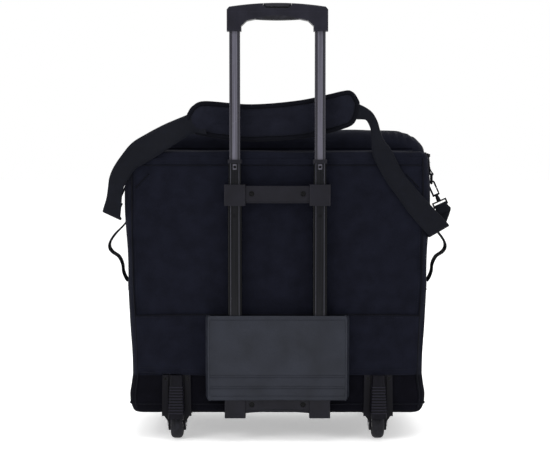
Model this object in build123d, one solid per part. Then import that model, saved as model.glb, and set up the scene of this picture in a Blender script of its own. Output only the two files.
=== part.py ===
"""Rolling bowling ball bag with a three-stage trolley handle, one STEP file per piece.

Millimetres. +Z is up, the trolley side faces -Y, and the origin is on the floor under the
middle of the whole object. Depths are written from the back panel's outer face and are
turned into the part's own Y by depth().
"""
from build123d import *
from math import cos, pi, sin, sqrt
import os

os.makedirs("parts", exist_ok=True)

# ---- the bag ----
BAG_DEPTH = 280.0
HALF_TOP = 294.5  # half the width at the top
HALF_BASE = 286.5  # half the width at the base
BASE_Z = 55.0
RIM_Z = 557.0  # the mouth, at the zip
REAR_TOP_Z = 565.0
LID_TOP_Z = 608.0
WALL = 8.0  # padded fabric panel
CORNER_R = 18.0
LID_CROWN_R = 40.0
LID_SHOULDER = (62.0, 4.0)  # how far in from the side the crown starts, and how far below the top
STRIP_DEPTH = 48.0  # fixed strip of the top, behind the lid
LID_BACK = 52.0
ZIP_PROUD = 1.6
ZIP_ROW = 6.0  # height of one half of the zip
SKIRT_Z = (129.0, 246.0)
SKIRT_THICK = 2.5

# ---- the trolley ----
TUBE_X = 82.5
TUBE_DEPTH = -15.0  # the tubes' centre line
OUTER = (28.0, 19.0, 1.5)  # width, depth and wall
MIDDLE = (24.4, 15.4, 1.4)
INNER = (21.0, 12.0, 1.3)
TUBE_CORNER = 4.5
OUTER_Z = (50.0, 501.0)
MIDDLE_Z = (218.0, 546.0)
INNER_Z = (488.0, 828.0)
OUTER_HOLE_Z = 443.0
LOCK_Z = 537.0
GUIDE_GAP = 0.3
COLLAR_Z = (544.0, 551.0)
BRACKET_Z = (462.0, 503.0)
FOOT_BRACKET_Z = (47.0, 92.0)
BRACKET_BACK = -29.0
BRACKET_SCREW_X = 50.0
BRACKET_SCREW_Z = (485.0, 73.5)
PATCH_HALF = 140.0
PATCH_Z = (83.0, 248.0)

# ---- the grip ----
GRIP_HALF = 97.5
GRIP_BOTTOM = 798.0
GRIP_TOP = 852.0
GRIP_DEPTH = 28.0
LEG_INNER = 69.5
PART_LINE_Z = 835.0
BUTTON_HALF = 27.0
BUTTON_Z = 845.0
BUTTON_TRAVEL = 3.0
YOKE_Z = (833.5, 837.5)
CHANNEL_Z = 828.5

# ---- the wheels ----
WHEEL_X = 198.0
WHEEL_R = 29.5
WHEEL_WIDTH = 24.0
WHEEL_DEPTH = 16.0  # the axle's place, inside the back face
HUB_R = 21.0
AXLE_R = 4.0
BEARING_R = 9.0
BEARING_WIDTH = 6.0
SPINE_PROUD = 32.0
FLANGE_Z = (47.0, 128.5)
FORK_HALF = 17.0
FORK_SLOT = 25.6

# ---- straps and hardware ----
WEBBING = 2.0
WEBBING_WIDTH = 38.0
STRAP_REACH = 340.0
HOOK_DEPTH = 26.0
RING_BAR_Z = 503.0
RING_BAR_X = 303.5
HOOK_TILT = 24.0
HANDLE_DEPTH = 70.0
ZIP_PARK = 50.0

BACK_Y = -(BAG_DEPTH + ZIP_PROUD - SPINE_PROUD) / 2
SIDES = (("left", -1), ("right", 1))


def depth(d):
    return BACK_Y + d


def block(x, d, z):
    """A box from its ranges, with depths measured from the back face."""
    size = (x[1] - x[0], d[1] - d[0], z[1] - z[0])
    centre = ((x[0] + x[1]) / 2, depth((d[0] + d[1]) / 2), (z[0] + z[1]) / 2)
    return Pos(*centre) * Box(*size)


def outline(points):
    """A flat face from straight runs, where a point marked "arc" is passed through by an arc."""
    edges = []
    i = 0
    count = len(points)
    while i < count:
        here = points[i][:3]
        after = points[(i + 1) % count]
        if len(after) == 4:
            edges.append(ThreePointArc(here, after[:3], points[(i + 2) % count][:3]))
            i += 2
        else:
            edges.append(Line(here, after[:3]))
            i += 1
    return make_face(Wire(edges))


def front_prism(points, d):
    """A front-view outline of (x, z) or (x, z, "arc") points, between two depths."""
    placed = [(p[0], depth(d[0]), p[1], *p[2:]) for p in points]
    return extrude(outline(placed), amount=d[1] - d[0], dir=(0, 1, 0))


def side_prism(points, x):
    """A side-view outline of (depth, z) or (depth, z, "arc") points, between two x."""
    placed = [(x[0], depth(p[0]), p[1], *p[2:]) for p in points]
    return extrude(outline(placed), amount=x[1] - x[0], dir=(1, 0, 0))


def rod(start, end, r):
    """A round bar between two (x, depth, z) points."""
    a = Vector(start[0], depth(start[1]), start[2])
    b = Vector(end[0], depth(end[1]), end[2])
    return extrude(Plane(a, z_dir=b - a) * Circle(r), amount=(b - a).length)


def mirrored(shape, side):
    return shape if side > 0 else mirror(shape, Plane.YZ)


def both(shape):
    return group([shape, mirrored(shape, -1)])


def group(solids):
    """Separate solids that share one node."""
    return Compound(children=[s for part in solids for s in part.solids()])


def half_width(z):
    return HALF_BASE + (HALF_TOP - HALF_BASE) * (z - BASE_Z) / (REAR_TOP_Z - BASE_Z)


# ---- fabric panels ----


def bag_form(inset, low, high, corner):
    """The bag's tapered block, drawn in by inset, with rounded upright and base edges."""
    a = half_width(low) - inset
    b = half_width(high) - inset
    form = front_prism([(-a, low), (a, low), (b, high), (-b, high)], (inset, BAG_DEPTH - inset))
    upright = [e for e in form.edges() if abs(e.tangent_at(0.5).Z) > 0.9]
    form = fillet(upright, corner)
    return fillet(form.faces().sort_by(Axis.Z)[0].edges(), corner * 0.8)


def wheel_well(side):
    """The space in the base that a wheel housing's well fills."""
    cx = side * WHEEL_X
    half = 20.0
    return block((cx - half, cx + half), (-40.0, 52.0), (0, BASE_Z + 10.0))


def bag_shell():
    shell = bag_form(0, BASE_Z, REAR_TOP_Z, CORNER_R)
    shell -= bag_form(WALL, BASE_Z + 10.0, REAR_TOP_Z + 20.0, CORNER_R - WALL)
    shell -= block((-400, 400), (CORNER_R, 400), (RIM_Z, 700))
    for _, side in SIDES:
        shell -= wheel_well(side)
    return shell


def panel(shell, x, d, z):
    return shell & block(x, d, z)


def build_panels(shell):
    front = BAG_DEPTH - CORNER_R
    side_low = BASE_Z + 16.0
    back = panel(shell, (-400, 400), (-1, CORNER_R), (0, 700))
    for x in (-BRACKET_SCREW_X, BRACKET_SCREW_X):
        for z in BRACKET_SCREW_Z:
            back -= rod((x, -1, z), (x, 20, z), 2.6)
    for x, z in housing_screw_places():
        back -= rod((x, -1, z), (x, 20, z), 1.8)
    write("back_panel", back)
    write("front_panel", panel(shell, (-400, 400), (front, 400), (0, 700)))
    write("side_panel_left", panel(shell, (-400, -200), (CORNER_R, front), (side_low, 700)))
    write("side_panel_right", panel(shell, (200, 400), (CORNER_R, front), (side_low, 700)))
    write("base_panel", panel(shell, (-400, 400), (CORNER_R, front), (0, side_low)))


def build_rear_strip(shell):
    """Fixed strip of the top that the pad stands on, in front of the lid's fold."""
    strip = bag_form(0, BASE_Z, REAR_TOP_Z, CORNER_R)
    strip &= block((-400, 400), (WALL, STRIP_DEPTH), (RIM_Z, REAR_TOP_Z))
    return strip - shell


def build_skirt():
    """Overlay across the lower back, over the housings' top edge."""
    low = half_width(SKIRT_Z[0]) - CORNER_R
    high = half_width(SKIRT_Z[1]) - CORNER_R
    points = [(-low, SKIRT_Z[0]), (low, SKIRT_Z[0]), (high, SKIRT_Z[1]), (-high, SKIRT_Z[1])]
    return front_prism(points, (-SKIRT_THICK, 0))


def build_patch():
    """Stiff cover sewn over the lower trolley tubes, seen from above as a flat-topped bridge."""
    front = BRACKET_BACK + 1.0
    thick = 2.4
    flat = TUBE_X + 20.0
    seam = -SKIRT_THICK
    outer = [(-PATCH_HALF, seam), (-PATCH_HALF, seam - thick), (-flat, front), (flat, front)]
    outer += [(PATCH_HALF, seam - thick), (PATCH_HALF, seam), (PATCH_HALF - 8.0, seam)]
    inner = [(flat - 1.0, front + thick), (1.0 - flat, front + thick), (8.0 - PATCH_HALF, seam)]
    corners = [(x, depth(d), PATCH_Z[0]) for x, d in outer + inner]
    return extrude(outline(corners), amount=PATCH_Z[1] - PATCH_Z[0], dir=(0, 0, 1))


def zip_ring(low, high):
    """One half of the zip, round the sides and the front of the mouth."""
    half = half_width(low)
    ring = block((-half - ZIP_PROUD, half + ZIP_PROUD), (0, BAG_DEPTH + ZIP_PROUD), (low, high))
    ring = fillet(ring.edges().filter_by(Axis.Z), CORNER_R)
    hole = block((-half - 0.1, half + 0.1), (-10, BAG_DEPTH + 0.1), (low - 1, high + 1))
    ring -= fillet(hole.edges().filter_by(Axis.Z), CORNER_R - 1.0)
    return ring - block((-400, 400), (-40, LID_BACK + 8.0), (0, 900))


def lid_form(inset, low):
    """The lid's crowned block: its arch from the front, its rounding from the side, its plan."""
    half = half_width(RIM_Z) - inset
    top = LID_TOP_Z - inset
    reach, drop = LID_SHOULDER
    arch = [(-half, low), (half, low), (half, RIM_Z + 4.0), (half - 19.0, top - 22.0, "arc")]
    arch += [(half - reach, top - drop), (0, top, "arc"), (reach - half, top - drop)]
    arch += [(19.0 - half, top - 22.0, "arc"), (-half, RIM_Z + 4.0)]
    back, front, r = LID_BACK + inset, BAG_DEPTH - inset, LID_CROWN_R - inset
    slant = r * (1 - sqrt(0.5))
    side = [(back, low), (back, top - r), (back + slant, top - slant, "arc"), (back + r, top + 0.1)]
    side += [(front - r, top + 0.1), (front - slant, top - slant, "arc"), (front, top - r), (front, low)]
    plan = block((-half, half), (back, front), (low, top + 1.0))
    plan = fillet(plan.edges().filter_by(Axis.Z), CORNER_R - inset)
    return front_prism(arch, (back - 1, front + 1)) & side_prism(side, (-half - 1, half + 1)) & plan


def build_lid():
    return lid_form(0, RIM_Z + 1.0) - lid_form(WALL, RIM_Z - 5.0)


def build_boards():
    half = HALF_BASE - 17.0
    floor = BASE_Z + 10.0
    base = block((-half, half), (17.0, BAG_DEPTH - 17.0), (floor + 0.2, floor + 6.0))
    write("base_board", fillet(base.edges().filter_by(Axis.Z), 12.0))
    back = block((-half, half), (WALL + 0.2, WALL + 3.2), (floor + 12.0, RIM_Z - 8.0))
    for x in (-BRACKET_SCREW_X, BRACKET_SCREW_X):
        for z in BRACKET_SCREW_Z:
            back -= rod((x, 5, z), (x, 20, z), 2.6)
    write("back_board", back)


def build_inside():
    floor = BASE_Z + 16.2
    ball_r = 111.0
    cup_top = floor + 45.0
    cup = block((10.0, 250.0), (18.0, 258.0), (floor, cup_top))
    cup = fillet(cup.edges().filter_by(Axis.Z), 30.0)
    cup -= Pos(130.0, depth(138.0), floor + 8.0 + ball_r) * Sphere(ball_r)
    write("foam_cups", both(cup))
    divider = block((-5.0, 5.0), (12.0, 268.0), (floor, RIM_Z - 70.0))
    write("centre_divider", divider)


def build_feet():
    """Moulded front feet, as tall as the wheels hold the back."""
    foot_depth = BAG_DEPTH - 34.0
    x = WHEEL_X
    low = Plane((x, depth(foot_depth), 0)) * Circle(15.0)
    high = Plane((x, depth(foot_depth), BASE_Z - 4.0)) * Circle(21.0)
    foot = loft([low.faces()[0], high.faces()[0]])
    foot += Pos(x, depth(foot_depth), BASE_Z - 2.0) * Cylinder(27.0, 4.0)
    foot -= Pos(x, depth(foot_depth), 6.0) * Cylinder(9.0, 12.1)
    return both(foot)


# ---- wheels ----


def housing_screw_places():
    return [(side * WHEEL_X + dx, 121.5) for _, side in SIDES for dx in (-21.0, 21.0)]


def build_housing(side):
    """Flange on the back face, ridged spine, fork and well, moulded in one."""
    cx = WHEEL_X
    low, high = FLANGE_Z
    corners = [(cx - 29.0, low), (cx + 29.0, low), (cx + 27.5, high), (cx - 27.5, high)]
    flange = front_prism(corners, (-5.0, 0))
    for dx in (-1, 1):
        gap = [(cx + dx * 15.4, 56.0), (cx + dx * 17.2, 56.0), (cx + dx * 16.4, 130.0), (cx + dx * 11.8, 130.0)]
        flange -= front_prism(gap, (-6.0, -2.0))
    head_proud = 11.0
    foot_face = Plane((cx, depth(-14.0), low)) * Rectangle(30.0, 2 * (SPINE_PROUD - 14.0))
    head_face = Plane((cx, depth(-head_proud / 2), high)) * Rectangle(23.0, head_proud)
    spine = loft([foot_face.faces()[0], head_face.faces()[0]])
    corners = [e for e in spine.edges() if e.center().Y < depth(-12.0) and abs(e.tangent_at(0.5).Z) > 0.8]
    spine = fillet(corners, 3.0)
    spine -= block((0, 400), (0, 60), (0, 200))
    housing = flange + spine
    ridges = 10
    for i in range(ridges):
        z = 57.4 + i * 5.4
        share = (z - low) / (high - low)
        out = -SPINE_PROUD + share * (SPINE_PROUD - head_proud)
        half = 15.8 - 3.5 * share
        housing += block((cx - half, cx + half), (max(out - 0.4, -SPINE_PROUD), -4.0), (z - 1.0, z + 1.0))
    axle_z = WHEEL_R
    arm = [(WHEEL_DEPTH - 14.5, 64.9), (WHEEL_DEPTH - 14.5, axle_z)]
    arm += [(WHEEL_DEPTH, axle_z - 14.5, "arc"), (WHEEL_DEPTH + 14.5, axle_z), (WHEEL_DEPTH + 14.5, 64.9)]
    under = BASE_Z - 0.1
    cheek = [(FORK_HALF, 10.0), (FORK_HALF, 36.8), (19.0, 37.2), (25.0, 46.0), (25.0, under), (19.9, under)]
    cheek += [(19.9, 64.9)]
    cheeks = [(cx + dx, z) for dx, z in cheek] + [(cx - dx, z) for dx, z in reversed(cheek)]
    housing += side_prism(arm, (cx - 30.0, cx + 30.0)) & front_prism(cheeks, (-10.0, 60.0))
    housing += block((cx - 19.9, cx + 19.9), (0, 51.9), (50.0, 64.9))
    slot = FORK_SLOT / 2
    housing -= rod((cx - slot, WHEEL_DEPTH, axle_z), (cx + slot, WHEEL_DEPTH, axle_z), WHEEL_R + 3.0)
    housing -= rod((cx - 40, WHEEL_DEPTH, axle_z), (cx + 40, WHEEL_DEPTH, axle_z), AXLE_R + 0.02)
    for dx in (-21.0, 21.0):
        housing -= rod((cx + dx, -6, 121.5), (cx + dx, 1, 121.5), 1.8)
        housing -= rod((cx + dx, -6, 121.5), (cx + dx, -2.6, 121.5), 3.9)
    return mirrored(housing, side)


def ring_on_x(cx, half, r_out, r_in, round_by):
    """A round part on the axle's line, with its rims rounded."""
    centre = (cx, depth(WHEEL_DEPTH), WHEEL_R)
    ring = Pos(*centre) * Rot(0, 90, 0) * Cylinder(r_out, 2 * half)
    if round_by:
        ring = fillet(ring.edges().filter_by(GeomType.CIRCLE), round_by)
    return ring - Pos(*centre) * Rot(0, 90, 0) * Cylinder(r_in, 2 * half + 1)


def build_hub(cx):
    """Spoked core of an inline wheel, with a pocket for a bearing at each face."""
    half = WHEEL_WIDTH / 2
    hub = ring_on_x(cx, half - 1.0, HUB_R, 5.2, 0)
    for face in (-1, 1):
        pocket = cx + face * (half - 1.0 - BEARING_WIDTH / 2)
        hub -= ring_on_x(pocket, BEARING_WIDTH / 2 + 0.01, BEARING_R, 1.0, 0)
    for i in range(5):
        turn = 2 * pi * i / 5
        y = WHEEL_DEPTH + 14.6 * cos(turn)
        z = WHEEL_R + 14.6 * sin(turn)
        hub -= rod((cx - half, y, z), (cx + half, y, z), 3.6)
    return hub


def build_wheels():
    half = WHEEL_WIDTH / 2
    for name, side in SIDES:
        cx = side * WHEEL_X
        write(f"tyre_{name}", ring_on_x(cx, half, WHEEL_R, HUB_R, 8.0))
        write(f"hub_{name}", build_hub(cx))
        bearings = []
        for face in (-1, 1):
            place = cx + face * (half - 1.0 - BEARING_WIDTH / 2)
            bearings.append(ring_on_x(place, BEARING_WIDTH / 2, BEARING_R, AXLE_R + 0.05, 0))
        write(f"bearings_{name}", group(bearings))
    axle = rod((WHEEL_X - 18.0, WHEEL_DEPTH, WHEEL_R), (WHEEL_X + 18.0, WHEEL_DEPTH, WHEEL_R), AXLE_R)
    for end in (-1, 1):
        face = WHEEL_X + end * FORK_HALF
        axle += rod((face, WHEEL_DEPTH, WHEEL_R), (face + end * 2.4, WHEEL_DEPTH, WHEEL_R), 6.5)
    write("axles", both(axle))


# ---- trolley ----


def section(x, size, spare=0.0):
    """A tube's outside outline, standing on its own centre line."""
    corner = max(TUBE_CORNER - (OUTER[0] - size[0]) / 2, 2.0) + spare
    at = Plane((x, depth(TUBE_DEPTH), 0))
    return at * RectangleRounded(size[0] + 2 * spare, size[1] + 2 * spare, corner)


def column(x, size, z, spare=0.0):
    return Pos(0, 0, z[0]) * extrude(section(x, size, spare), amount=z[1] - z[0])


def build_tube(x, size, z):
    """A drawn tube with two grooves down its outer face."""
    wall = size[2]
    inside = (size[0] - 2 * wall, size[1] - 2 * wall, 0)
    tube = column(x, size, z)
    tube -= column(x, inside, (z[0] - 1, z[1] + 1))
    face = TUBE_DEPTH - size[1] / 2
    groove_in = 5.9
    groove_out = groove_in + size[0] / 10 - 0.4
    for side in (-1, 1):
        across = sorted((x + side * groove_in, x + side * groove_out))
        tube -= block(across, (face - 1, face + 0.6), (z[0] - 1, z[1] + 1))
    return tube


def build_tubes():
    for name, side in SIDES:
        x = side * TUBE_X
        outer = build_tube(x, OUTER, OUTER_Z)
        outer -= rod((x, -40, OUTER_HOLE_Z), (x, TUBE_DEPTH, OUTER_HOLE_Z), 3.6)
        write(f"outer_tube_{name}", outer)
        middle = build_tube(x, MIDDLE, MIDDLE_Z)
        middle -= block((x - 4, x + 4), (-40, TUBE_DEPTH), (LOCK_Z - 5.5, LOCK_Z + 5.5))
        write(f"middle_tube_{name}", middle)
        inner = build_tube(x, INNER, INNER_Z)
        inner -= rod((x, -40, LOCK_Z), (x, TUBE_DEPTH, LOCK_Z), 2.9)
        write(f"inner_tube_{name}", inner)


def build_collar(x):
    """Cap on a middle tube's top, which guides the inner tube."""
    size = (OUTER[0] - 0.6, OUTER[1] - 0.6, 0)
    collar = column(x, size, COLLAR_Z)
    collar -= column(x, MIDDLE, (COLLAR_Z[0] - 1, MIDDLE_Z[1]))
    return collar - column(x, INNER, (MIDDLE_Z[1] - 1, 600), GUIDE_GAP)


def build_upper_bracket():
    """Two sockets that hold the outer tubes' tops, joined by a flat bar."""
    low, high = BRACKET_Z
    socket = block((TUBE_X - 20.5, TUBE_X + 20.5), (BRACKET_BACK, 0), (low, high))
    socket = fillet(socket.edges().filter_by(Axis.Z), 3.0)
    socket -= column(TUBE_X, OUTER, (low - 1, OUTER_Z[1]))
    socket -= column(TUBE_X, MIDDLE, (OUTER_Z[1] - 1, high + 1), GUIDE_GAP)
    bracket = socket + mirrored(socket, -1)
    bar = [(0, low + 4.5), (-18.0, low + 4.5), (-22.0, low + 9.0), (-22.0, high - 3.0), (0, high - 3.0)]
    bracket += side_prism(bar, (20.4 - TUBE_X, TUBE_X - 20.4))
    return pierce(bracket, BRACKET_SCREW_Z[0], -22.0)


def pierce(bracket, z, face):
    """Recessed screw holes, one on each side."""
    for x in (-BRACKET_SCREW_X, BRACKET_SCREW_X):
        bracket -= rod((x, face - 1, z), (x, 1, z), 2.6)
        bracket -= rod((x, face - 1, z), (x, face + 3.0, z), 5.6)
    return bracket


def build_lower_bracket():
    """Closed feet under the outer tubes, joined by an arched bar."""
    low, high = FOOT_BRACKET_Z
    half = 20.5
    socket = block((TUBE_X - half, TUBE_X + half), (BRACKET_BACK + 3.6, -SKIRT_THICK), (low, high))
    socket = fillet(socket.edges().filter_by(Axis.Z), 3.0)
    socket -= column(TUBE_X, OUTER, (OUTER_Z[0], high + 1))
    bracket = socket + mirrored(socket, -1)
    reach = TUBE_X - half + 0.1
    bar = [(-reach, low + 9.5), (0, low + 12.5, "arc"), (reach, low + 9.5)]
    bar += [(reach, high - 2.0), (-reach, high - 2.0)]
    bracket += front_prism(bar, (-22.0, 0))
    relief = [(-reach, low + 13.0), (0, low + 16.0, "arc"), (reach, low + 13.0), (reach, low + 14.4)]
    relief += [(0, low + 17.4, "arc"), (-reach, low + 14.4)]
    bracket -= front_prism(relief, (-23.0, -20.8))
    return pierce(bracket, BRACKET_SCREW_Z[1], -22.0)


def build_screw(x, face, z, tip, shank_r, head_r):
    """Pan head screw with a cross recess, driven from the back."""
    screw = rod((x, face, z), (x, face + 2.2, z), head_r)
    screw += rod((x, face + 2.0, z), (x, tip, z), shank_r)
    reach = head_r * 0.6
    screw -= block((x - reach, x + reach), (face - 1, face + 1.2), (z - 0.6, z + 0.6))
    return screw - block((x - 0.6, x + 0.6), (face - 1, face + 1.2), (z - reach, z + reach))


def build_screws():
    screws = []
    for x in (-BRACKET_SCREW_X, BRACKET_SCREW_X):
        for z in BRACKET_SCREW_Z:
            screws.append(build_screw(x, -21.2, z, 14.0, 2.5, 5.0))
    for x, z in housing_screw_places():
        screws.append(build_screw(x, -4.8, z, 7.5, 1.7, 3.6))
    return group(screws)


# ---- grip and lock ----


def grip_form():
    """The whole grip as one block, before it is split."""
    low = GRIP_BOTTOM
    right = [(LEG_INNER, low), (GRIP_HALF, low), (GRIP_HALF, low + 41.5), (GRIP_HALF - 4.5, low + 46.8)]
    left = [(4.5 - GRIP_HALF, low + 46.8), (-GRIP_HALF, low + 41.5)]
    left += [(-GRIP_HALF, low), (-LEG_INNER, low), (-LEG_INNER, low + 10.0)]
    under = [(-59.0, low + 20.0), (-42.0, low + 23.5), (0, low + 22.0, "arc"), (42.0, low + 23.5)]
    under += [(59.0, low + 20.0), (LEG_INNER, low + 10.0)]
    points = right + [(0, GRIP_TOP, "arc")] + left + under
    back = TUBE_DEPTH - GRIP_DEPTH / 2
    form = front_prism(points, (back, back + GRIP_DEPTH))
    rims = [e for f in form.faces().sort_by(Axis.Y) for e in f.edges() if abs(f.normal_at().Y) > 0.9]
    return fillet(rims, 2.5)


def button_outline(spare, floor):
    half = BUTTON_HALF + spare
    waist = half - 6.0
    right = [(waist, floor), (half, floor + 6.5), (half, 860.0)]
    return [(-x, z) for x, z in reversed(right)] + right


def channel(z, half, thick):
    return block((-half, half), (TUBE_DEPTH - thick, TUBE_DEPTH + thick), z)


def inlay_form():
    low = GRIP_BOTTOM
    points = [(-42.0, low + 23.5), (0, low + 22.0, "arc"), (42.0, low + 23.5), (0, low + 30.0, "arc")]
    back = TUBE_DEPTH - GRIP_DEPTH / 2
    return front_prism(points, (back - 0.01, back + GRIP_DEPTH + 0.01))


def build_grip():
    form = grip_form()
    back = TUBE_DEPTH - GRIP_DEPTH / 2
    through = (back - 5.0, back + GRIP_DEPTH + 5.0)
    floor = BUTTON_Z - BUTTON_TRAVEL - 0.2
    skirt = 2.6
    skirt_half = BUTTON_HALF - 0.2
    lower = form & block((-200, 200), through, (700, PART_LINE_Z))
    upper = form & block((-200, 200), through, (PART_LINE_Z, 900))
    upper -= front_prism(button_outline(0.4, floor), through)
    upper -= channel((floor - skirt, 860.0), skirt_half + 0.4, 8.4)
    room = channel((CHANNEL_Z, YOKE_Z[1] + 0.4), TUBE_X + 6.5, 5.0)
    lower -= room
    upper -= room
    upper -= channel((YOKE_Z[1], 850.0), 7.0, 6.0)
    for x in (-TUBE_X, TUBE_X):
        lower -= column(x, INNER, (700, CHANNEL_Z + 0.1))
    write("grip_lower", lower - inlay_form())
    write("grip_upper", upper)
    write("grip_inlay", form & inlay_form())
    button = form & front_prism(button_outline(0, BUTTON_Z), through)
    button += form & channel((BUTTON_Z - skirt, 860.0), skirt_half, 8.0)
    button += channel((YOKE_Z[1], BUTTON_Z + 1.0), 6.0, 4.5)
    write("grip_button", button)


def build_release():
    """Yoke under the button with a rod down each inner tube."""
    release = channel(YOKE_Z, TUBE_X + 4.0, 4.0)
    for x in (-TUBE_X, TUBE_X):
        release += rod((x, TUBE_DEPTH, LOCK_Z + 9.0), (x, TUBE_DEPTH, YOKE_Z[0] + 1.0), 1.5)
    return release


def build_button_spring():
    coil_r = 3.0
    wire_r = 0.3
    height = YOKE_Z[0] - CHANNEL_Z - 2 * wire_r
    coil = Helix(pitch=height / 4, height=height, radius=coil_r)
    wire = Plane(coil @ 0, z_dir=coil % 0) * Circle(wire_r)
    spring = sweep(wire, path=coil)
    return Pos(0, depth(TUBE_DEPTH), CHANNEL_Z + wire_r) * spring


def build_lock(x):
    """Carrier pressed into an inner tube, and its cross pin at rest."""
    width = INNER[0] - 2 * INNER[2] - 0.2
    thick = INNER[1] - 2 * INNER[2] - 0.2
    across = (x - width / 2, x + width / 2)
    carrier = block(across, (TUBE_DEPTH - thick / 2, TUBE_DEPTH + thick / 2), (525.0, 549.0))
    carrier = fillet(carrier.edges().filter_by(Axis.Z), 2.2)
    carrier -= rod((x, TUBE_DEPTH, LOCK_Z + 4.5), (x, TUBE_DEPTH, 560.0), 1.9)
    carrier -= rod((x, -40, LOCK_Z), (x, TUBE_DEPTH + 3.5, LOCK_Z), 2.75)
    tip = TUBE_DEPTH - INNER[1] / 2 - 0.1
    pin = rod((x, tip, LOCK_Z), (x, TUBE_DEPTH + 0.4, LOCK_Z), 2.65)
    return carrier, pin


def build_locks():
    pairs = [build_lock(side * TUBE_X) for _, side in SIDES]
    write("lock_carriers", group([carrier for carrier, _ in pairs]))
    write("lock_pins", group([pin for _, pin in pairs]))


# ---- shoulder strap ----


def build_pad():
    """Banana-shaped shoulder pad, standing behind the tubes."""
    top = [(-152.0, 665.0), (-30.0, 655.0, "arc"), (138.0, 686.0)]
    right = [(163.0, 656.0, "arc"), (150.0, 619.0)]
    bottom = [(-12.0, 586.5, "arc"), (-164.0, 600.0)]
    left = [(-180.0, 634.0, "arc")]
    return front_prism(top + right + bottom + left, (4.0, 22.0))


def curtain(side_view):
    """A thin sheet across the object that follows (depth, z) points, to cut a strap from."""
    near = [(d - WEBBING / 2, z) for d, z in side_view]
    far = [(d + WEBBING / 2, z) for d, z in reversed(side_view)]
    return side_prism(near + far, (-400, 400))


def build_strap(side):
    """Webbing from the pad's end, over the top corner, to the slack fold below the hook."""
    drape = curtain([(13.0, 700.0), (13.0, 612.0), (-4.5, 568.0), (-4.5, 380.0)])
    if side < 0:
        run = [(-174.0, 641.0), (-219.0, 620.0), (-283.0, 583.0), (-308.0, 551.0), (-327.0, 515.0)]
        run += [(-332.0, 480.0), (-340.0, 450.0), (-307.0, 435.0), (-303.0, 465.0), (-298.0, 501.0)]
        run += [(-277.0, 534.0), (-219.0, 568.0), (-160.0, 603.0)]
        fold = [(-340.0, 450.0), (-307.0, 435.0), (-308.0, 438.0), (-339.2, 453.0)]
        tail = [(-340.0, 450.0), (-307.0, 435.0), (-307.0, 449.5), (-336.0, 461.5)]
    else:
        run = [(159.0, 656.0), (186.0, 641.0), (197.0, 622.0), (206.0, 589.0), (222.0, 567.0)]
        run += [(244.0, 526.0), (280.0, 482.0), (340.0, 424.0), (303.0, 402.0), (255.0, 447.0)]
        run += [(225.0, 491.0), (192.0, 540.0), (184.0, 570.0), (182.0, 614.0)]
        run += [(170.0, 628.0), (148.0, 630.0)]
        fold = [(340.0, 424.0), (303.0, 402.0), (301.0, 404.5), (337.5, 426.4)]
        tail = [(340.0, 424.0), (303.0, 402.0), (307.0, 449.5), (336.0, 461.5)]
    strap = front_prism(run, (-30, 60)) & drape
    strap += front_prism(fold, (-5.4, HOOK_DEPTH + 1.0))
    strap += front_prism(tail, (HOOK_DEPTH - 1.0, HOOK_DEPTH + 1.0))
    return strap - build_pad()


def tube_path(points, r, bend):
    """A bent wire through points, with the same bend at every corner."""
    path = FilletPolyline(*points, radius=bend)
    start = Plane(path @ 0, z_dir=path % 0) * Circle(r)
    return sweep(start, path=path)


def stacked(z, r):
    """A round piece of the swivel between two heights below the ring's bar."""
    return Pos(0, 0, (z[0] + z[1]) / 2) * Cylinder(r, z[1] - z[0])


def hang(piece, side):
    """Hook hardware is drawn with the ring's bar at its origin, then tilted and put in place."""
    place = Pos(RING_BAR_X, depth(HOOK_DEPTH), RING_BAR_Z) * Rot(0, -HOOK_TILT, 0)
    return mirrored(place * piece, side)


def build_hook(side):
    """Open wire hook on a foot, with the stem and end collar that its barrel holds."""
    wire = 1.8
    half = 6.0
    top = 2.0 + wire
    hook = tube_path([(half, 0, -11.0), (half, 0, top), (-half, 0, top), (-half, 0, -24.0)], wire, 3.9)
    hook += Pos(-0.4, 0, -24.0) * Box(2 * half + 2.8, 2 * wire, 2 * wire)
    hook += stacked((-29.0, -24.0), 3.4)
    hook += stacked((-35.0, -28.0), 1.6)
    hook += stacked((-36.2, -34.2), 3.0)
    return hang(hook, side)


def build_gate(side):
    """Sprung gate that closes the hook's open side."""
    gate = Pos(6.0, 0, 0) * stacked((-20.5, -11.6), 1.6) + Pos(6.0, 0, -20.5) * Sphere(1.6)
    return hang(gate, side)


def build_swivel(side):
    """Barrel that the hook turns in, and the loop that the webbing goes through."""
    barrel = stacked((-37.0, -29.3), 4.2) - stacked((-40.0, -25.0), 1.66)
    barrel -= stacked((-36.5, -33.9), 3.1)
    barrel += Pos(0, 0, -42.6) * (Box(30.0, 4.0, 12.0) - Box(24.0, 5.0, 6.4))
    return hang(barrel, side)


def build_ring(side):
    """D-shaped ring: the flat bar in its tab, the round side down through the hook."""
    high = 19.0
    bar = 1.5
    half = 10.0
    ring = tube_path([(0, -half, high), (0, -half, 0), (0, half, 0), (0, half, high)], bar, 4.0)
    ring += Pos(0, 0, high) * Rot(90, 0, 0) * Cylinder(bar, 2 * half + 2 * bar)
    return mirrored(Pos(RING_BAR_X, depth(HOOK_DEPTH), RING_BAR_Z) * ring, side)


def sewn_end(low, tall):
    """A side handle's end, sewn flat on the right side panel."""
    face = half_width(low + tall)
    reach = (HANDLE_DEPTH - WEBBING_WIDTH / 2, HANDLE_DEPTH + WEBBING_WIDTH / 2)
    return block((face, face + 3.0), reach, (low, low + tall))


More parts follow.
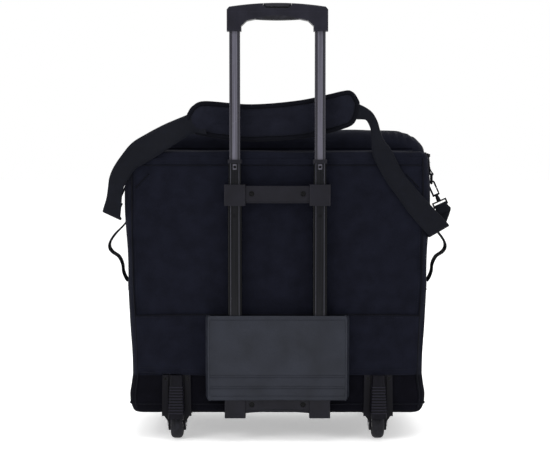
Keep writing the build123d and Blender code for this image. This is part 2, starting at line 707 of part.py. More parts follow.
def build_ring_tab():
    """Webbing folded round the ring's flat bar and sewn to the right side panel."""
    bar_z = RING_BAR_Z + 19.0
    high = bar_z + 26.0
    face = half_width(high)
    near = RING_BAR_X - 3.2
    far = RING_BAR_X + 3.2
    side_view = [(face, high), (face + 3.0, high), (face + 3.2, bar_z + 9.0), (far, bar_z + 3.0)]
    side_view += [(far, bar_z - 3.2), (near, bar_z - 3.2), (face, bar_z + 2.0)]
    tab = front_prism(side_view, (HOOK_DEPTH - 8.0, HOOK_DEPTH + 8.0))
    return tab - rod((RING_BAR_X, 0, bar_z), (RING_BAR_X, 60, bar_z), 1.55)


def build_tabs():
    """Ring tabs and the sewn ends of the side handles, on both sides."""
    right = [build_ring_tab(), sewn_end(286.0, 26.0), sewn_end(424.0, 26.0)]
    return group(right + [mirrored(tab, -1) for tab in right])


def build_side_handle(side):
    """Webbing grab loop, standing off the side panel between its sewn ends."""
    out = [(309.5, 312.0), (312.0, 336.0), (321.0, 357.0), (336.0, 364.0)]
    out += [(STRAP_REACH, 378.0), (337.0, 392.0), (320.0, 416.0), (310.0, 426.0)]
    near = [(306.0, 421.0), (316.0, 411.5), (332.5, 391.0), (335.5, 379.0)]
    near += [(332.0, 368.5), (317.0, 361.0), (307.5, 338.0), (306.0, 312.0)]
    reach = (HANDLE_DEPTH - WEBBING_WIDTH / 2, HANDLE_DEPTH + WEBBING_WIDTH / 2)
    return mirrored(front_prism(out + near, reach), side)


# ---- zip ----


def zip_face():
    return half_width(RIM_Z) + ZIP_PROUD + 0.4


def build_slider(side):
    """Zip slider with the bridge that its pull hangs from."""
    face = zip_face()
    z = RIM_Z
    body = block((face, face + 3.4), (ZIP_PARK - 5.5, ZIP_PARK + 5.5), (z - 4.5, z + 5.5))
    body = fillet(body.edges().filter_by(Axis.X), 2.2)
    bridge = block((face + 3.3, face + 7.0), (ZIP_PARK - 3.6, ZIP_PARK + 3.6), (z - 2.0, z + 4.0))
    bridge -= rod((face + 4.9, ZIP_PARK - 9, z + 0.6), (face + 4.9, ZIP_PARK + 9, z + 0.6), 1.1)
    bridge -= block((face, face + 20), (ZIP_PARK - 1.9, ZIP_PARK + 1.9), (z - 9, z + 9))
    return mirrored(body + bridge, side)


def build_pull(side):
    """Long pull tab, hanging from its cross pin."""
    face = zip_face()
    pin_x = face + 4.9
    z = RIM_Z + 0.6
    pull = rod((pin_x, ZIP_PARK - 3.4, z), (pin_x, ZIP_PARK + 3.4, z), 1.0)
    pull += block((pin_x - 0.9, pin_x + 0.9), (ZIP_PARK - 1.5, ZIP_PARK + 1.5), (z - 8.0, z))
    tab = block((pin_x - 1.0, pin_x + 1.0), (ZIP_PARK - 4.0, ZIP_PARK + 4.0), (z - 34.0, z - 7.0))
    pull += fillet(tab.edges().filter_by(Axis.X), 2.5)
    return mirrored(pull, side)


# ---- writing ----


def write(node, shape):
    solids = shape.solids()
    export_step(solids[0] if len(solids) == 1 else Compound(children=list(solids)), f"parts/{node}.step")
    volume = sum(s.volume for s in solids)
    print(f"{node}: {len(solids)} solid(s), {volume / 1000:.1f} cm3")


def main():
    shell = bag_shell()
    build_panels(shell)
    write("rear_top_strip", build_rear_strip(shell))
    write("rear_skirt", build_skirt())
    write("trolley_patch", build_patch())
    write("body_zip_row", zip_ring(RIM_Z - ZIP_ROW, RIM_Z - 0.1))
    write("lid_zip_row", zip_ring(RIM_Z + 1.1, RIM_Z + 1.0 + ZIP_ROW))
    write("lid_panel", build_lid())
    build_boards()
    build_inside()
    write("front_feet", build_feet())
    build_wheels()
    build_tubes()
    collar = build_collar(TUBE_X)
    write("middle_collars", both(collar))
    write("upper_bracket", build_upper_bracket())
    write("lower_bracket", build_lower_bracket())
    write("screws", build_screws())
    build_grip()
    write("release_rods", build_release())
    write("button_spring", build_button_spring())
    build_locks()
    write("shoulder_pad", build_pad())
    write("d_rings", group([build_ring(side) for _, side in SIDES]))
    write("swivel_bases", group([build_swivel(side) for _, side in SIDES]))
    write("sewn_tabs", build_tabs())
    for name, side in SIDES:
        write(f"wheel_housing_{name}", build_housing(side))
        write(f"strap_{name}", build_strap(side))
        write(f"snap_hook_{name}", build_hook(side))
        write(f"hook_gate_{name}", build_gate(side))
        write(f"side_handle_{name}", build_side_handle(side))
        write(f"zip_slider_{name}", build_slider(side))
        write(f"zip_pull_{name}", build_pull(side))


main()
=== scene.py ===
import math

import bpy
import numpy as np
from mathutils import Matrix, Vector


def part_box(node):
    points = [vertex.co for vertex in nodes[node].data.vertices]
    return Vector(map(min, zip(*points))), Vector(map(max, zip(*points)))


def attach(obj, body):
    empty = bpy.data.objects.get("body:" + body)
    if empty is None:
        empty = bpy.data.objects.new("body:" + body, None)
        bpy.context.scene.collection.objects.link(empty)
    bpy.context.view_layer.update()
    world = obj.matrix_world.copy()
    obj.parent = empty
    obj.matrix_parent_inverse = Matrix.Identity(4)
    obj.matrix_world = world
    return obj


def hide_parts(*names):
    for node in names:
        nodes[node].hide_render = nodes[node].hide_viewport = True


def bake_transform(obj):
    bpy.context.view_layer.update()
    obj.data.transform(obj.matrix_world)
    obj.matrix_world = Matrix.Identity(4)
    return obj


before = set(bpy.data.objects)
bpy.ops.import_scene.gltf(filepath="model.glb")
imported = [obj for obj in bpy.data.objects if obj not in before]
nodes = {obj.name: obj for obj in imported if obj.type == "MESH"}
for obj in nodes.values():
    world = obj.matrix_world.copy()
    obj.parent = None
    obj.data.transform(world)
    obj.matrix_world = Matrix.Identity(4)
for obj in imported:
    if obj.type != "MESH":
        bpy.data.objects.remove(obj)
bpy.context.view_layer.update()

scene = bpy.context.scene
MM = 0.001
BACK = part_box("back_panel")[0].y  # the bag's back face
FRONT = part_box("front_panel")[1].y
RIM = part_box("front_panel")[1].z  # the mouth
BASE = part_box("back_panel")[0].z
LID_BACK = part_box("lid_panel")[0].y
BAND_Z = 0.5405  # the seam across the back, below the mouth
BASE_TOP = 0.1265  # the shell is darker below here, round the base
CORNER = 0.018  # radius of the bag's upright corners
GRIP_CLEAR = 0.105  # half the width that the stowed grip needs


def middle_x(node):
    low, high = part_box(node)
    return (low.x + high.x) / 2


TUBE_X = middle_x("inner_tube_right")
HOUSING_X = middle_x("wheel_housing_right")


def dep(d):
    """Row y of a depth in millimetres, measured in from the bag's back face."""
    return BACK + d * MM


# ---- meshes


def add_object(name, data):
    obj = bpy.data.objects.new(name, data)
    scene.collection.objects.link(obj)
    return obj


class Build:
    """Vertices and faces that become one piece."""

    def __init__(self):
        self.verts = []
        self.faces = []

    def add(self, verts, faces):
        start = len(self.verts)
        self.verts.extend([tuple(map(float, v)) for v in verts])
        self.faces.extend([tuple(i + start for i in f) for f in faces])

    def grid(self, points, close_u=False, close_v=False, flip=False):
        nu, nv = points.shape[:2]
        faces = []
        for i in range(nu if close_u else nu - 1):
            for j in range(nv if close_v else nv - 1):
                a = i * nv + j
                b = i * nv + (j + 1) % nv
                c = ((i + 1) % nu) * nv + (j + 1) % nv
                d = ((i + 1) % nu) * nv + j
                faces.append((a, d, c, b) if flip else (a, b, c, d))
        self.add(points.reshape(-1, 3), faces)

    def piece(self, name, body, slot, material=None, replaces=(), smooth=True):
        mesh = bpy.data.meshes.new(name)
        mesh.from_pydata(self.verts, [], self.faces)
        mesh.validate()
        for polygon in mesh.polygons:
            polygon.use_smooth = smooth
        mesh.materials.append(material or looks[slot])
        obj = add_object(name, mesh)
        if body:
            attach(obj, body)
        if replaces:
            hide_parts(*replaces)
        return obj


def spline(points, n):
    """n points spaced evenly along a smooth curve through the given ones."""
    p = np.array(points, float)
    q = np.vstack([2 * p[0] - p[1], p, 2 * p[-1] - p[-2]])
    fine = []
    for i in range(1, len(q) - 2):
        t = np.linspace(0, 1, 24, endpoint=False)[:, None]
        a, b, c, d = q[i - 1], q[i], q[i + 1], q[i + 2]
        bend = (2 * a - 5 * b + 4 * c - d) * t**2 + (3 * b - a - 3 * c + d) * t**3
        fine.append(0.5 * (2 * b + (c - a) * t + bend))
    return even(np.vstack(fine + [p[-1:]]), n)


def even(path, n):
    """The same line with n points spaced evenly by length."""
    path = np.array(path, float)
    s = np.r_[0, np.cumsum(np.linalg.norm(np.diff(path, axis=0), axis=1))]
    t = np.linspace(0, s[-1], n)
    return np.stack([np.interp(t, s, path[:, k]) for k in range(path.shape[1])], 1)


def unit(v):
    return v / np.maximum(np.linalg.norm(v, axis=-1, keepdims=True), 1e-12)


def grid_normals(p):
    return unit(np.cross(np.gradient(p, axis=0), np.gradient(p, axis=1)))


def add_slab(build, p, thick):
    """A closed sheet of that thickness about a grid of points, with rounded edges."""
    n = grid_normals(p)
    t = thick / 2
    across = unit(np.gradient(p, axis=1))
    top = p + n * t
    low = p - n * t
    left = p[:, :1] - across[:, :1] * t * 0.8
    right = p[:, -1:] + across[:, -1:] * t * 0.8
    ring = np.concatenate([left, top, right, low[:, ::-1]], 1)
    build.grid(ring, close_v=True)
    nu, m = ring.shape[:2]
    nv = p.shape[1]
    faces = []
    for row in (0, nu - 1):
        base = row * m
        cap = [(base, base + 1, base + m - 1)]
        cap += [(base + 1 + j, base + 2 + j, base + m - 2 - j, base + m - 1 - j) for j in range(nv - 1)]
        cap += [(base + nv, base + nv + 1, base + nv + 2)]
        faces += cap if row == 0 else [f[::-1] for f in cap]
    start = len(build.verts) - nu * m
    build.faces.extend([tuple(i + start for i in f) for f in faces])


def add_tube(build, path, r, sides=8, closed=False, flat=1.0, up=(0, 0, 1)):
    """A round or flattened line along a path."""
    path = np.array(path, float)
    if closed:
        tangent = unit(np.roll(path, -1, 0) - np.roll(path, 1, 0))
    else:
        tangent = unit(np.gradient(path, axis=0))
    ref = np.array(up, float)
    side = unit(np.cross(tangent, ref) + 1e-9)
    lift = np.cross(side, tangent)
    a = np.linspace(0, 2 * np.pi, sides, endpoint=False)
    round_it = side[:, None] * np.cos(a)[:, None] + flat * lift[:, None] * np.sin(a)[:, None]
    ring = path[:, None] + r * round_it
    build.grid(ring, close_u=closed, close_v=True, flip=True)
    if not closed:
        start = len(build.verts) - len(path) * sides
        build.faces.append(tuple(start + i for i in range(sides)))
        last = start + (len(path) - 1) * sides
        build.faces.append(tuple(last + i for i in reversed(range(sides))))


def add_stitches(build, path, normal=(0, -1, 0), pitch=4.2 * MM, length=2.9 * MM, r=0.42 * MM):
    """A row of short raised threads along a path, standing off the cloth along normal."""
    path = np.array(path, float)
    total = np.linalg.norm(np.diff(path, axis=0), axis=1).sum()
    count = max(int(total / pitch), 1)
    line = even(path, 2 * count + 1)
    n = unit(np.array(normal, float))
    shape = [(-1.0, 0.0), (-0.55, 1.0), (0.55, 1.0), (1.0, 0.0)]
    for k in range(count):
        a, b = line[2 * k], line[2 * k + 2]
        t = unit(b - a)
        c = (a + b) / 2 + n * 0.25 * MM
        s = np.cross(t, n)
        rows = []
        for reach, size in shape:
            for j in range(4):
                turn = j * math.pi / 2 + math.pi / 4
                off = (s * math.cos(turn) + n * math.sin(turn)) * r * max(size, 0.15)
                rows.append(c + t * reach * length / 2 + off)
        build.grid(np.array(rows).reshape(4, 4, 3), close_v=True)


def ripples(u, v, seed, count=6, low=6.0, high=30.0):
    """Smooth uneven waves between about -1 and 1, the same on each run."""
    r = np.random.RandomState(seed)
    out = np.zeros(np.broadcast(u, v).shape)
    for _ in range(count):
        turn = r.uniform(0, math.pi)
        k = r.uniform(low, high)
        out += np.sin(k * (u * math.cos(turn) + v * math.sin(turn)) + r.uniform(0, 6.28)) / count**0.5
    return out


def corner_cut(e, radius):
    """How far a rounded corner draws in at a distance e from its edge."""
    return radius - math.sqrt(max(radius**2 - max(radius - e, 0) ** 2, 0)) if e < radius else 0


def border(grid):
    """The points round a grid's edge, in order."""
    return np.concatenate([grid[0], grid[1:-1, -1], grid[-1][::-1], grid[1:-1, 0][::-1]])


def add_weld(obj, distance=0.0001):
    obj.modifiers.new("weld", "WELD").merge_threshold = distance


def add_wall(obj, thickness, *materials):
    """Give a skin its inner side, in the material that follows the outer one."""
    wall = obj.modifiers.new("wall", "SOLIDIFY")
    wall.thickness = thickness
    wall.offset = -1
    wall.material_offset = 1
    for material in materials:
        obj.data.materials.append(material)


def bump_at(x, centre, width):
    return np.exp(-(((x - centre) / width) ** 2))


def ease(x, a, b):
    t = np.clip((x - a) / (b - a), 0, 1)
    return t * t * (3 - 2 * t)


# ---- materials


def make_material(name):
    """A new material, its node tree, and coordinates fixed to the object."""
    material = bpy.data.materials.new(name)
    material.use_nodes = True
    tree = material.node_tree
    tree.nodes.clear()
    return material, tree, put(tree, "ShaderNodeTexCoord").outputs["Object"]


def put(tree, kind, **values):
    made = tree.nodes.new(kind)
    for key, value in values.items():
        if hasattr(made, key) and key not in made.inputs:
            setattr(made, key, value)
        else:
            made.inputs[key].default_value = value
    return made


def feed(tree, socket, given):
    """Link an output to a socket, or set the socket to a number or a colour."""
    if hasattr(given, "is_output"):
        tree.links.new(given, socket)
    else:
        socket.default_value = given if np.isscalar(given) else (*given, 1)


def math_node(tree, operation, a, b=0.0):
    made = put(tree, "ShaderNodeMath", operation=operation)
    feed(tree, made.inputs[0], a)
    feed(tree, made.inputs[1], b)
    return made.outputs[0]


def times(tree, a, b):
    return math_node(tree, "MULTIPLY", a, b)


def apart(tree, a, b):
    """The distance between two values."""
    return math_node(tree, "ABSOLUTE", math_node(tree, "SUBTRACT", a, b))


def along(tree, coords, direction):
    """How far a point is along a direction, times its length."""
    dot = put(tree, "ShaderNodeVectorMath", operation="DOT_PRODUCT")
    tree.links.new(coords, dot.inputs[0])
    dot.inputs[1].default_value = direction
    return dot.outputs["Value"]


def wave(tree, coords, direction, period):
    k = 2 * math.pi / period
    return math_node(tree, "SINE", along(tree, coords, [k * x for x in direction]))


def noise(tree, coords, scale, detail=3.0, stretch=None):
    made = put(tree, "ShaderNodeTexNoise", Scale=scale, Detail=detail)
    if stretch:
        mapping = put(tree, "ShaderNodeMapping", Scale=stretch)
        tree.links.new(coords, mapping.inputs["Vector"])
        coords = mapping.outputs[0]
    tree.links.new(coords, made.inputs["Vector"])
    return made.outputs["Fac"]


def spread(tree, value, low, high, start=0.0, end=1.0):
    limits = {"From Min": start, "From Max": end, "To Min": low, "To Max": high}
    made = put(tree, "ShaderNodeMapRange", **limits)
    tree.links.new(value, made.inputs["Value"])
    return made.outputs["Result"]


def blend_colours(tree, value, first, second):
    made = put(tree, "ShaderNodeMix", data_type="RGBA")
    for i, given in ((0, value), (6, first), (7, second)):
        feed(tree, made.inputs[i], given)
    return made.outputs[2]


def shade(tree, colour, roughness, heights, **values):
    """The shader, its output, and a chain of (height, distance, strength) bumps."""
    shader = put(tree, "ShaderNodeBsdfPrincipled")
    for key, value in values.items():
        shader.inputs[key.replace("_", " ")].default_value = value
    tree.links.new(colour, shader.inputs["Base Color"])
    tree.links.new(roughness, shader.inputs["Roughness"])
    normal = None
    for height, distance, strength in heights:
        bump = put(tree, "ShaderNodeBump", Distance=distance, Strength=strength)
        tree.links.new(height, bump.inputs["Height"])
        if normal:
            tree.links.new(normal, bump.inputs["Normal"])
        normal = bump.outputs[0]
    if normal:
        tree.links.new(normal, shader.inputs["Normal"])
    out = put(tree, "ShaderNodeOutputMaterial")
    tree.links.new(shader.outputs[0], out.inputs[0])


def rubbed_edge_and_highlight(tree, radius=0.7 * MM):
    """Where a sharp edge is: how far its rounded normal leans from the face's. Materials paint these edges
    pale, partly as rubbed wear and partly as painted highlight.
    """
    rounded = put(tree, "ShaderNodeBevel", samples=4, Radius=radius)
    lean = put(tree, "ShaderNodeVectorMath", operation="DOT_PRODUCT")
    tree.links.new(rounded.outputs[0], lean.inputs[0])
    tree.links.new(put(tree, "ShaderNodeNewGeometry").outputs["Normal"], lean.inputs[1])
    return spread(tree, lean.outputs["Value"], 1, 0, 0.75, 0.98)


def scaled(colour, by):
    return [c * by for c in colour]


def tinted(tree, value, colour, low, high, start=0.3, end=0.7):
    """A colour that runs from low to high times its strength as the value does."""
    part = spread(tree, value, 0, 1, start, end)
    return blend_colours(tree, part, scaled(colour, low), scaled(colour, high))


def cells(tree, coords, scale, **values):
    made = put(tree, "ShaderNodeTexVoronoi", Scale=scale, **values)
    tree.links.new(coords, made.inputs["Vector"])
    return made.outputs["Distance"]


def cloth(name, colour, period=1.3 * MM, sheen=0.02):
    """Woven cloth: two crossing threads, uneven dye, and fine creases."""
    material, tree, at = make_material(name)
    warp = wave(tree, at, (1, 1, 0), period)
    weft = wave(tree, at, (0.45, -0.45, 1), period)
    weave = times(tree, warp, weft)
    mottle = noise(tree, at, 38, 5)
    slub = noise(tree, at, 420, 2)
    dyed = tinted(tree, mottle, colour, 0.725, 1.55)
    fine = math_node(tree, "ADD", times(tree, weave, 0.35), slub)
    both = blend_colours(tree, 0.45, dyed, tinted(tree, fine, colour, 0.55, 1.9, 0.1, 1.1))
    creases = noise(tree, at, 26, 4, (1, 1, 2.2))
    heights = [(creases, 3.5 * MM, 0.35), (weave, 0.25 * MM, 0.5), (slub, 0.3 * MM, 0.4)]
    gloss = dict(Sheen_Weight=sheen, Sheen_Roughness=0.5, Specular_IOR_Level=0.04)
    shade(tree, both, spread(tree, slub, 0.72, 0.9), heights, **gloss)
    return material


def webbing(name, colour):
    """Narrow woven strap: ribs across, with herringbone threads."""
    material, tree, at = make_material(name)
    rib = wave(tree, at, (0, 0, 1), 2.1 * MM)
    cross = wave(tree, at, (1, 1, 0.35), 1.5 * MM)
    weave = math_node(tree, "ADD", rib, times(tree, cross, 0.6))
    dust = noise(tree, at, 60, 5)
    tint = tinted(tree, weave, colour, 0.5, 1.7, -1.6, 1.6)
    worn = blend_colours(tree, spread(tree, dust, 0, 0.5, 0.5, 0.8), tint, scaled(colour, 2.2))
    heights = [(weave, 0.35 * MM, 0.7), (dust, 0.8 * MM, 0.25)]
    gloss = dict(Sheen_Weight=0.02, Sheen_Roughness=0.5, Specular_IOR_Level=0.08)
    shade(tree, worn, spread(tree, dust, 0.55, 0.8), heights, **gloss)
    return material


def plastic(name, colour, rough=(0.38, 0.55)):
    """Moulded plastic: fine spark texture, dust in the colour, paler edges that are partly rubbed wear and
    partly painted highlight.
    """
    material, tree, at = make_material(name)
    grain = cells(tree, at, 900)
    cloud = noise(tree, at, 30, 5)
    scuff = noise(tree, at, 140, 4, (1, 1, 0.25))
    body = tinted(tree, cloud, colour, 0.8, 1.25)
    # the pale edge colour is partly rubbed wear and partly painted highlight
    tint = blend_colours(tree, times(tree, rubbed_edge_and_highlight(tree), scuff), body, scaled(colour, 3.0))
    heights = [(grain, 0.12 * MM, 0.45), (scuff, 0.15 * MM, 0.12)]
    shade(tree, tint, spread(tree, scuff, *rough, 0.3, 0.7), heights, Specular_IOR_Level=0.16)
    return material


def leatherette(name, colour):
    """Coated cloth: pebbled grain and soft dents."""
    material, tree, at = make_material(name)
    pebbles = cells(tree, at, 620, feature="SMOOTH_F1")
    cloud = noise(tree, at, 22, 5)
    pores = noise(tree, at, 900, 2)
    body = tinted(tree, cloud, colour, 0.75, 1.3)
    tint = blend_colours(tree, spread(tree, pebbles, 0, 0.5, 0.2, 0.8), body, scaled(colour, 0.55))
    dents = noise(tree, at, 16, 3)
    heights = [(dents, 3 * MM, 0.3), (pebbles, 0.3 * MM, -0.5), (pores, 0.1 * MM, 0.3)]
    shade(tree, tint, spread(tree, pores, 0.42, 0.6), heights, Specular_IOR_Level=0.2)
    return material


def finish_drawn(tree, at, tint, rough, gloss):
    """Shade blackened metal: drawn streaks in its surface and smudges in its gloss."""
    drawn = noise(tree, at, 300, 3, (1, 1, 0.02))
    smudge = noise(tree, at, 18, 4)
    dull = spread(tree, smudge, *rough, 0.35, 0.7)
    shade(tree, tint(drawn), dull, [(drawn, 0.05 * MM, 0.15)], Specular_IOR_Level=gloss)


def lacquer(name, colour, rough, gloss):
    """Black lacquered metal, for hooks, rings and screws, with grey edges that are partly rubbed wear and
    partly painted highlight.
    """
    material, tree, at = make_material(name)
    edge = times(tree, rubbed_edge_and_highlight(tree, 0.45 * MM), 0.5)

    def tint(drawn):
        streak = tinted(tree, drawn, colour, 0.75, 1.3, 0.35, 0.65)
        # the grey on the edges is partly rubbed wear and partly painted highlight
        return blend_colours(tree, edge, streak, (0.09, 0.09, 0.095))

    finish_drawn(tree, at, tint, rough, gloss)
    return material


def drawn_tube(name, colour, band, line, offset, rough=(0.16, 0.26), gloss=0.09):
    """Trolley tube: a paler flat between two grooves as a painted reflection, and a line of colour along the
    grooves, painted highlight on the black tubes and painted shade on the grey one.
    """
    material, tree, at = make_material(name)
    x = math_node(tree, "ABSOLUTE", along(tree, at, (1, 0, 0)))
    off = apart(tree, x, TUBE_X)
    # the paler band colour on the flat between the grooves is a painted reflection
    flat = spread(tree, off, 1, 0, offset - 1.2 * MM, offset - 0.4 * MM)
    # the line colour painted along the grooves: painted highlight on the black tubes, painted shade on the
    # grey tube
    painted_groove_line = spread(tree, apart(tree, off, offset), 1, 0, 0.35 * MM, 0.8 * MM)

    def tint(drawn):
        streak = tinted(tree, drawn, band, 0.75, 1.3, 0.35, 0.65)
        return blend_colours(tree, painted_groove_line, blend_colours(tree, flat, colour, streak), line)

    finish_drawn(tree, at, tint, rough, gloss)
    return material


def ribbed_plastic(name, colour, half, low, high, pitch):
    """The wheel housings: across the spine the ribs are painted pale as painted highlight and the grooves
    between them painted dark as painted shade.
    """
    material, tree, at = make_material(name)
    scuff = noise(tree, at, 140, 4, (1, 1, 0.25))
    x = math_node(tree, "ABSOLUTE", along(tree, at, (1, 0, 0)))
    z = along(tree, at, (0, 0, 1))
    inside = spread(tree, apart(tree, x, HOUSING_X), 1, 0, half - 0.5 * MM, half)
    for edge, way in ((low, 1), (high, -1)):
        past = times(tree, math_node(tree, "SUBTRACT", z, edge), way)
        inside = times(tree, inside, spread(tree, past, 0, 1, 0, 0.5 * MM))
    angle = times(tree, math_node(tree, "SUBTRACT", z, low + pitch / 2), 2 * math.pi / pitch)
    # rib runs from the painted shade in the grooves to the painted highlight on the ribs, inside the spine
    rib = spread(tree, math_node(tree, "COSINE", angle), 0, 1, -0.6, 0.8)
    ribs = blend_colours(tree, rib, scaled(colour, 0.35), scaled(colour, 3.2))
    body = blend_colours(tree, inside, tinted(tree, scuff, colour, 0.7, 1.4), ribs)
    # pale edges: partly rubbed wear, partly painted highlight
    tint = blend_colours(tree, times(tree, rubbed_edge_and_highlight(tree), scuff), body, scaled(colour, 4))
    heights = [(times(tree, rib, inside), 0.8 * MM, 0.6), (scuff, 0.15 * MM, 0.12)]
    shade(tree, tint, spread(tree, scuff, 0.4, 0.55, 0.3, 0.7), heights, Specular_IOR_Level=0.1)
    return material


def metal(name, colour, rough=(0.25, 0.42)):
    """Plated steel: brushed grain and dull patches."""
    material, tree, at = make_material(name)
    brushed = noise(tree, at, 700, 3)
    tint = tinted(tree, noise(tree, at, 60, 4), colour, 0.8, 1.15)
    dull = spread(tree, brushed, *rough, 0.3, 0.7)
    shade(tree, tint, dull, [(brushed, 0.06 * MM, 0.2)], Metallic=0.95)
    return material


def rubber(name, colour, ribs=0.0):
    """Matt rubber or polyurethane, with dust and a scuffed tread."""
    material, tree, at = make_material(name)
    dust = noise(tree, at, 110, 5)
    fine = noise(tree, at, 1200, 2)
    tint = tinted(tree, dust, colour, 1, 2.4, 0.45, 0.75)
    heights = [(fine, 0.12 * MM, 0.4), (dust, 0.4 * MM, 0.2)]
    if ribs:
        heights.append((wave(tree, at, (1, 0, 0), ribs), 0.3 * MM, 0.5))
    shade(tree, tint, spread(tree, dust, 0.6, 0.85), heights, Specular_IOR_Level=0.2)
    return material


def fibreboard(name, colour):
    material, tree, at = make_material(name)
    fibres = noise(tree, at, 260, 5, (1, 0.3, 1))
    blotch = noise(tree, at, 20, 4)
    tint = tinted(tree, fibres, colour, 0.75, 1.3)
    shade(tree, tint, spread(tree, blotch, 0.75, 0.95), [(fibres, 0.3 * MM, 0.4)])
    return material


def foam(name, colour):
    material, tree, at = make_material(name)
    pores = cells(tree, at, 900)
    blotch = noise(tree, at, 30, 4)
    tint = tinted(tree, pores, colour, 0.6, 1.4, 0, 0.7)
    shade(tree, tint, spread(tree, blotch, 0.85, 1.0), [(pores, 0.6 * MM, 0.6), (blotch, 2 * MM, 0.3)])
    return material


looks = {
    "body_fabric": cloth("body_cloth", (0.0052, 0.0058, 0.0108)),
    "patch_leatherette": leatherette("patch_leather", (0.0155, 0.0178, 0.0262)),
    "zip_tape": cloth("tape_cloth", (0.0045, 0.0050, 0.0078), 0.9 * MM),
    "board": fibreboard("board_grey", (0.09, 0.085, 0.08)),
    "foam": foam("foam_grey", (0.03, 0.03, 0.033)),
    "pad_fabric": cloth("pad_cloth", (0.0070, 0.0076, 0.0128), 1.6 * MM),
    "webbing": webbing("strap_web", (0.0040, 0.0046, 0.0078)),
    "moulded_plastic": plastic("moulded_black", (0.0062, 0.0060, 0.0098)),
    "grip_plastic": plastic("grip_black", (0.0100, 0.0098, 0.0160), (0.3, 0.45)),
    "grip_rubber": rubber("inlay_rubber", (0.008, 0.008, 0.011)),
    "button_plastic": plastic("button_black", (0.016, 0.016, 0.020), (0.28, 0.4)),
    # black tubes: paler flat as painted reflection, pale lines along the grooves as painted highlight
    "tube_metal": drawn_tube(
        "tube_black", (0.0024, 0.0026, 0.0036), (0.0062, 0.0064, 0.0080), (0.06, 0.06, 0.075), 8.1 * MM
    ),
    "steel": metal("steel_plate", (0.42, 0.42, 0.43)),
    "tyre_rubber": rubber("tyre_black", (0.0065, 0.0065, 0.009), 3 * MM),
    "hub_plastic": plastic("hub_black", (0.012, 0.012, 0.016)),
    "dark_metal": lacquer("black_metal", (0.0045, 0.0045, 0.006), (0.3, 0.42), 0.07),
}
binding_look = cloth("binding_cloth", (0.0034, 0.0037, 0.0060), 0.9 * MM)
thread_look = cloth("thread_cloth", (0.012, 0.013, 0.019), 0.6 * MM)
# darker towards the bottom: the shell's material below BASE_TOP
base_look = cloth("base_cloth", (0.0026, 0.0026, 0.0046), 1.3 * MM, 0.0)
lining_look = cloth("lining_cloth", (0.018, 0.019, 0.024), 0.8 * MM)
label_look = cloth("tab_cloth", (0.035, 0.035, 0.040), 0.8 * MM)
teeth_look = metal("teeth_metal", (0.02, 0.02, 0.024), (0.25, 0.4))
screw_look = lacquer("screw_black", (0.0025, 0.0025, 0.003), (0.3, 0.4), 0.08)
# wheel housings: pale ribs as painted highlight, dark grooves between them as painted shade
housing_look = ribbed_plastic(
    "housing_black", (0.0036, 0.0034, 0.0056), 15.5 * MM, 54.7 * MM, 108.7 * MM, 5.4 * MM
)
# grey tube: paler flat as painted reflection, dark lines along the grooves as painted shade
painted_reflection_grey, painted_groove_shade = (0.080, 0.077, 0.100), (0.010, 0.010, 0.014)
inner_tube_look = drawn_tube(
    "tube_grey", (0.022, 0.021, 0.030), painted_reflection_grey, painted_groove_shade, 5.9 * MM, (0.2, 0.3), 0.4
)
for node in nodes.values():
    node.data.materials[0] = looks[node.data.materials[0].name]
for name in ("screws", "lock_pins"):
    nodes[name].data.materials[0] = screw_look
for side in ("left", "right"):
    nodes["inner_tube_" + side].data.materials[0] = inner_tube_look
    nodes["wheel_housing_" + side].data.materials[0] = housing_look


# ---- bag shell


def width_at(z):
    """Half the bag's width: it draws in under the overlay and bulges at its bottom corners."""
    levels = [0.055, 0.064, 0.075, 0.090, 0.108, 0.128, 0.180, 0.248, 0.300, 0.400, 0.520, 0.566]
    halves = [0.2845, 0.2885, 0.2915, 0.2920, 0.2890, 0.2865, 0.2880, 0.2912, 0.2948, 0.2968, 0.2970, 0.2958]
    return np.interp(z, levels, halves)


def round_plan(half, y0, y1, r):
    """A rounded rectangle as points and outward normals, from the back's middle towards +X."""
    straight, corner, side = 64, 8, 30
    pts, out = [], []

    def line(a, b, n, normal):
        for t in np.linspace(0, 1, n, endpoint=False):
            pts.append((a[0] + (b[0] - a[0]) * t, a[1] + (b[1] - a[1]) * t))
            out.append(normal)

    def turn(cx, cy, a0, a1):
        for t in np.linspace(a0, a1, corner, endpoint=False):
            pts.append((cx + r * math.cos(t), cy + r * math.sin(t)))
            out.append((math.cos(t), math.sin(t)))

    q = math.pi / 2
    line((0, y0), (half - r, y0), straight // 2, (0, -1))
    turn(half - r, y0 + r, -q, 0)
    line((half, y0 + r), (half, y1 - r), side, (1, 0))
    turn(half - r, y1 - r, 0, q)
    line((half - r, y1), (r - half, y1), straight, (0, 1))
    turn(r - half, y1 - r, q, 2 * q)
    line((-half, y1 - r), (-half, y0 + r), side, (-1, 0))
    turn(r - half, y0 + r, 2 * q, 3 * q)
    line((r - half, y0), (0, y0), straight // 2, (0, -1))
    return np.array(pts), np.array(out)


def shell_offset(x, y, z, nx, ny):
    """How far the cloth stands out from the flat panel, in metres."""
    back = np.clip(-ny, 0, 1)
    side = np.abs(nx)
    front = np.clip(ny, 0, 1)
    across = x if abs(ny) > 0.5 else y
    soft = ripples(across, z, 3, 7, 8, 34)
    fine = ripples(across, z, 11, 8, 40, 120)
    high = ease(z, 0.06, 0.11) * (1 - ease(z, 0.50, 0.556))
    out = back * (0.5 * soft + 0.35 * fine) * MM
    out += side * (2.2 * soft * high + 0.6 * fine + 3.0 * high * bump_at(y, 0.02, 0.09)) * MM
    out += front * (2.6 * soft * high + 0.7 * fine + 5.0 * high * bump_at(x, 0, 0.2)) * MM
    step = 0.8 * ease(z, BAND_Z - 0.0012, BAND_Z + 0.0012)
    out += back * (step - 1.3 * bump_at(z, BAND_Z, 0.0022)) * MM
    # the cloth stays flat where the grip comes to rest
    stowed = back * ease(z, 0.492, 0.506) * (1 - ease(abs(x), 0.101, 0.112))
    return out + stowed * (min(float(out), 0.3 * MM) - out)


